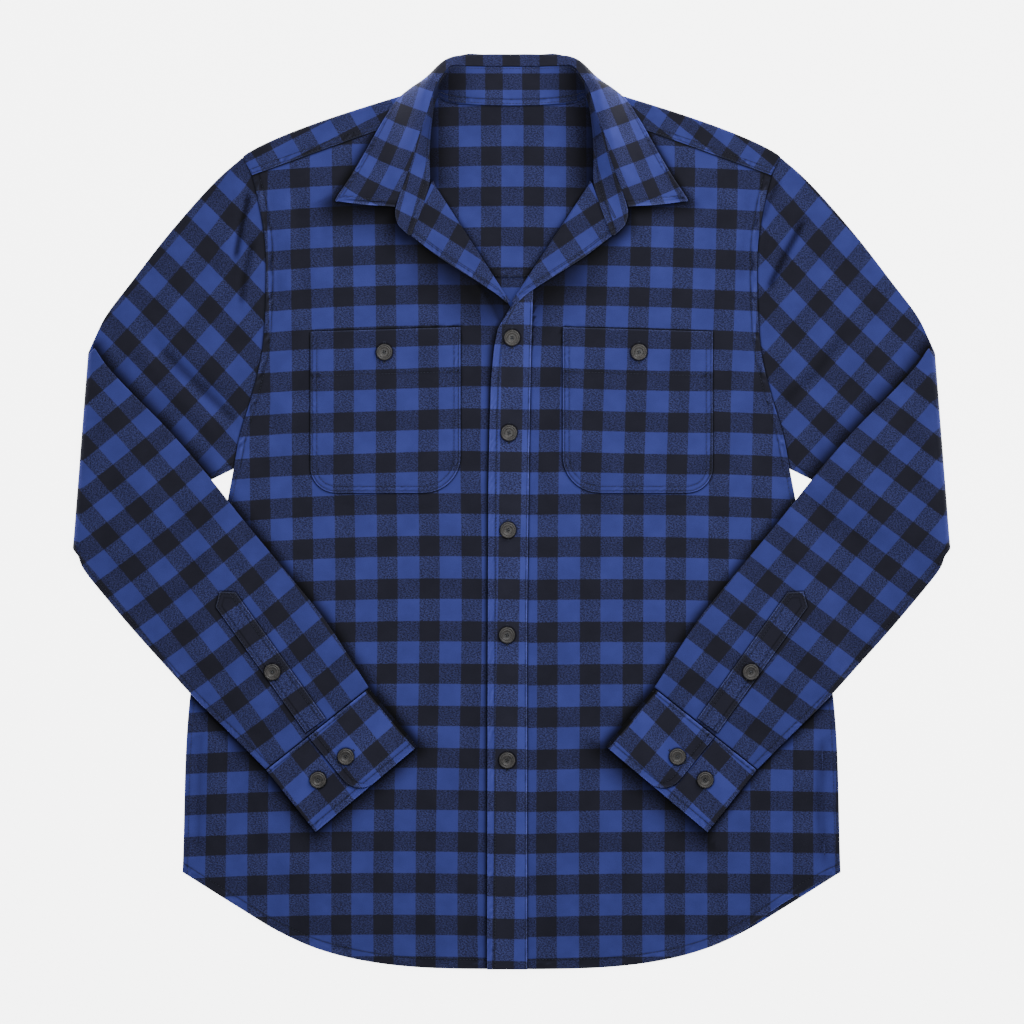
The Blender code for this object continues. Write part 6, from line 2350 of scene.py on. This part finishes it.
@dataclass
class Fastenings:
    """Every button, with its buttonhole where one shows."""

    finishes: Finishes
    thread: Thread
    button_thread: Thread

    def build(self) -> list[Object]:
        """Makes the buttons and sews the buttonholes."""
        made = []
        for i, place in enumerate(PLACKET_BUTTONS):
            made.append(self.fasten(f"button_placket_{i + 1}", place, Placket.top, 90, 7 * i))
        for side in Side:
            sign = side.value

            def pocket(x: Array, y: Array, side: Side = side) -> Array:
                """Height of a pocket's upper face."""
                return front_under(np.asarray(x, float), np.asarray(y, float), side) + PLY + WALL

            def strip(x: Array, y: Array, sign: int = sign) -> Array:
                """Height of a sleeve strip's upper face."""
                return forearm_top(sign * np.asarray(x, float), np.asarray(y, float)) + STRIP_SEAT + WALL

            def cuff(x: Array, y: Array, layers: int = 2) -> Array:
                """Height of a cuff's upper face."""
                return FOREARM_LIFT + layers * (CUFF_WALL + GAP) + CUFF_WALL + 0 * np.asarray(x, float)

            way, run = (
                math.degrees(math.atan2(foot[1] - top[1], sign * (foot[0] - top[0])))
                for top, foot in (CUFF_SEAM, (STRIP_TOP, STRIP_FOOT))
            )
            for name, (x, y), surface, slit, turn in (
                ("pocket", POCKET_BUTTON, pocket, 90, 12 * sign),
                ("strip", STRIP_BUTTON, strip, run, 20),
                ("cuff", CUFF_BUTTON, cuff, way, 30),
            ):
                made.append(self.fasten(f"button_{name}_{side.label}", (sign * x, y), surface, slit, turn))
            place = (sign * CUFF_SPARE_BUTTON[0], CUFF_SPARE_BUTTON[1])
            spare = Button(f"button_cuff_spare_{side.label}", place, lambda x, y: cuff(x, y, 1), 50)
            made.append(spare.build(self.finishes, self.button_thread))
        return made

    def fasten(
        self, node: str, place: tuple[float, float], surface: Callable, way: float, turn: float
    ) -> Object:
        """Makes a button on its buttonhole."""
        Buttonhole(place, way, surface).sew(self.thread)
        return Button(node, place, surface, turn).build(self.finishes, self.button_thread)


@dataclass
class Studio:
    """The surface under the shirt, the light and the camera."""

    span: float = 0.9216
    lens: float = 200.0
    middle: tuple[float, float] = (0.00036, -0.00027)

    def build(self) -> None:
        """Makes them all."""
        self.floor()
        self.light()
        self.camera()

    def floor(self) -> None:
        """A plain pale surface."""
        reach = 6
        data = bpy.data.meshes.new("floor")
        corners = ((-reach, -reach), (reach, -reach), (reach, reach), (-reach, reach))
        data.from_pydata([(x, y, -0.0001) for x, y in corners], [], [(0, 1, 2, 3)])
        data.materials.append(FloorFinish().build())
        floor = bpy.data.objects.new("floor", data)
        bpy.context.scene.collection.objects.link(floor)

    def light(self) -> None:
        """Broad soft light from above, a little of it from beyond the collar."""
        world = bpy.data.worlds.new("studio")
        world.use_nodes = True
        background = world.node_tree.nodes["Background"]
        background.inputs["Color"].default_value = (0.95, 0.97, 1, 1)
        background.inputs["Strength"].default_value = 0.42
        bpy.context.scene.world = world
        for name, place, size, power in (
            ("overhead", (0, 0.2, 0.95), 0.7, 5.4),
            ("beyond", (1.3, 1.9, 1.5), 1.1, 32),
        ):
            lamp = bpy.data.lights.new(name, "AREA")
            lamp.size, lamp.energy = size, power
            made = bpy.data.objects.new(name, lamp)
            made.location = place
            made.rotation_euler = Vector(place).to_track_quat("Z", "Y").to_euler()
            bpy.context.scene.collection.objects.link(made)

    def camera(self) -> None:
        """Looks straight down from far off."""
        data = bpy.data.cameras.new("camera")
        data.lens = self.lens
        data.sensor_width = 36
        data.clip_end = 50
        camera = bpy.data.objects.new("camera", data)
        camera.location = (*self.middle, self.span * self.lens / 36 + 0.003)
        bpy.context.scene.collection.objects.link(camera)
        bpy.context.scene.camera = camera


@dataclass(frozen=True)
class Sheet:
    """The cut of a piece of cloth, in metres.

    Attributes:
        piece: the piece's name without its ending, and with {side} where there is one on each side.
        flat: the width and length of what shows, flat.
        held: how it is held.
        rests_on: the pieces that it lies on.
        area: its flat area, where it isn't a rectangle.
    """

    piece: str
    flat: tuple[float, float]
    held: Held
    rests_on: tuple[str, ...] = ()
    area: float | None = None

    def declare(self, side: Side) -> None:
        """Does nothing with the piece on a side."""


SHEETS = (
    Sheet("back", (0.593, 0.627), Held.LAID, area=0.324),
    Sheet("yoke", (0.484, 0.170), Held.LAID, area=0.075),
    Sheet("inner_yoke", (0.434, 0.165), Held.LAID, ("yoke",), 0.062),
    Sheet("front_{side}", (0.320, 0.771), Held.FOLDED, ("back", "inner_yoke"), 0.195),
    Sheet("placket", (0.038, 0.616), Held.LAID, ("front_left", "front_right")),
    Sheet("pocket_{side}", (0.135, 0.149), Held.LAID, ("front_{side}",)),
    Sheet("sleeve_{side}", (0.400, 0.580), Held.FOLDED, ("front_{side}",), 0.165),
    Sheet("sleeve_strip_{side}", (0.022, 0.140), Held.LAID, ("sleeve_{side}",)),
    Sheet("cuff_{side}", (0.265, 0.069), Held.FOLDED, ("front_{side}",)),
    Sheet("collar_stand", (0.330, 0.033), Held.FOLDED, ("inner_yoke",)),
    Sheet("collar_leaf", (0.390, 0.062), Held.FOLDED, ("collar_stand",), 0.0184),
)


def main() -> None:
    """Builds the shirt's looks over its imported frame."""
    logging.basicConfig(level=logging.INFO, format="%(name)s %(message)s")
    for old in list(bpy.data.objects):
        bpy.data.objects.remove(old)
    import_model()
    finishes = Finishes.make()
    body_thread, trim_thread, sleeve_thread, collar_thread, holes = (
        Thread(f"{name}_stitches", finishes.thread, f"flannel_{slot}")
        for name, slot in (
            ("body", "body"), ("trim", "trim"), ("sleeve", "sleeve"), ("collar", "trim"), ("buttonhole", "trim")
        )
    )
    button_thread = Thread("button_threads", finishes.button_thread, "button_plastic")
    Back(finishes).build()
    Yoke(finishes, body_thread).build()
    for side in Side:
        Front(side, finishes, body_thread, hem_lift=4.5 if side is Side.LEFT else 0).build()
    Placket(finishes, trim_thread).build()
    for side in Side:
        Pocket(side, finishes, trim_thread).build()
        Sleeve(side, finishes, sleeve_thread).build()
        SleeveStrip(side, finishes, sleeve_thread).build()
        Cuff(side, finishes, sleeve_thread).build()
    Collar(finishes, collar_thread).build()
    Fastenings(finishes, holes, button_thread).build()
    for sewing in (body_thread, trim_thread, sleeve_thread, collar_thread, holes, button_thread):
        sewing.build()
    Studio().build()
    for sheet in SHEETS:
        for side in Side if "{side}" in sheet.piece else (Side.LEFT,):
            sheet.declare(side)


if __name__ == "__main__":
    main()
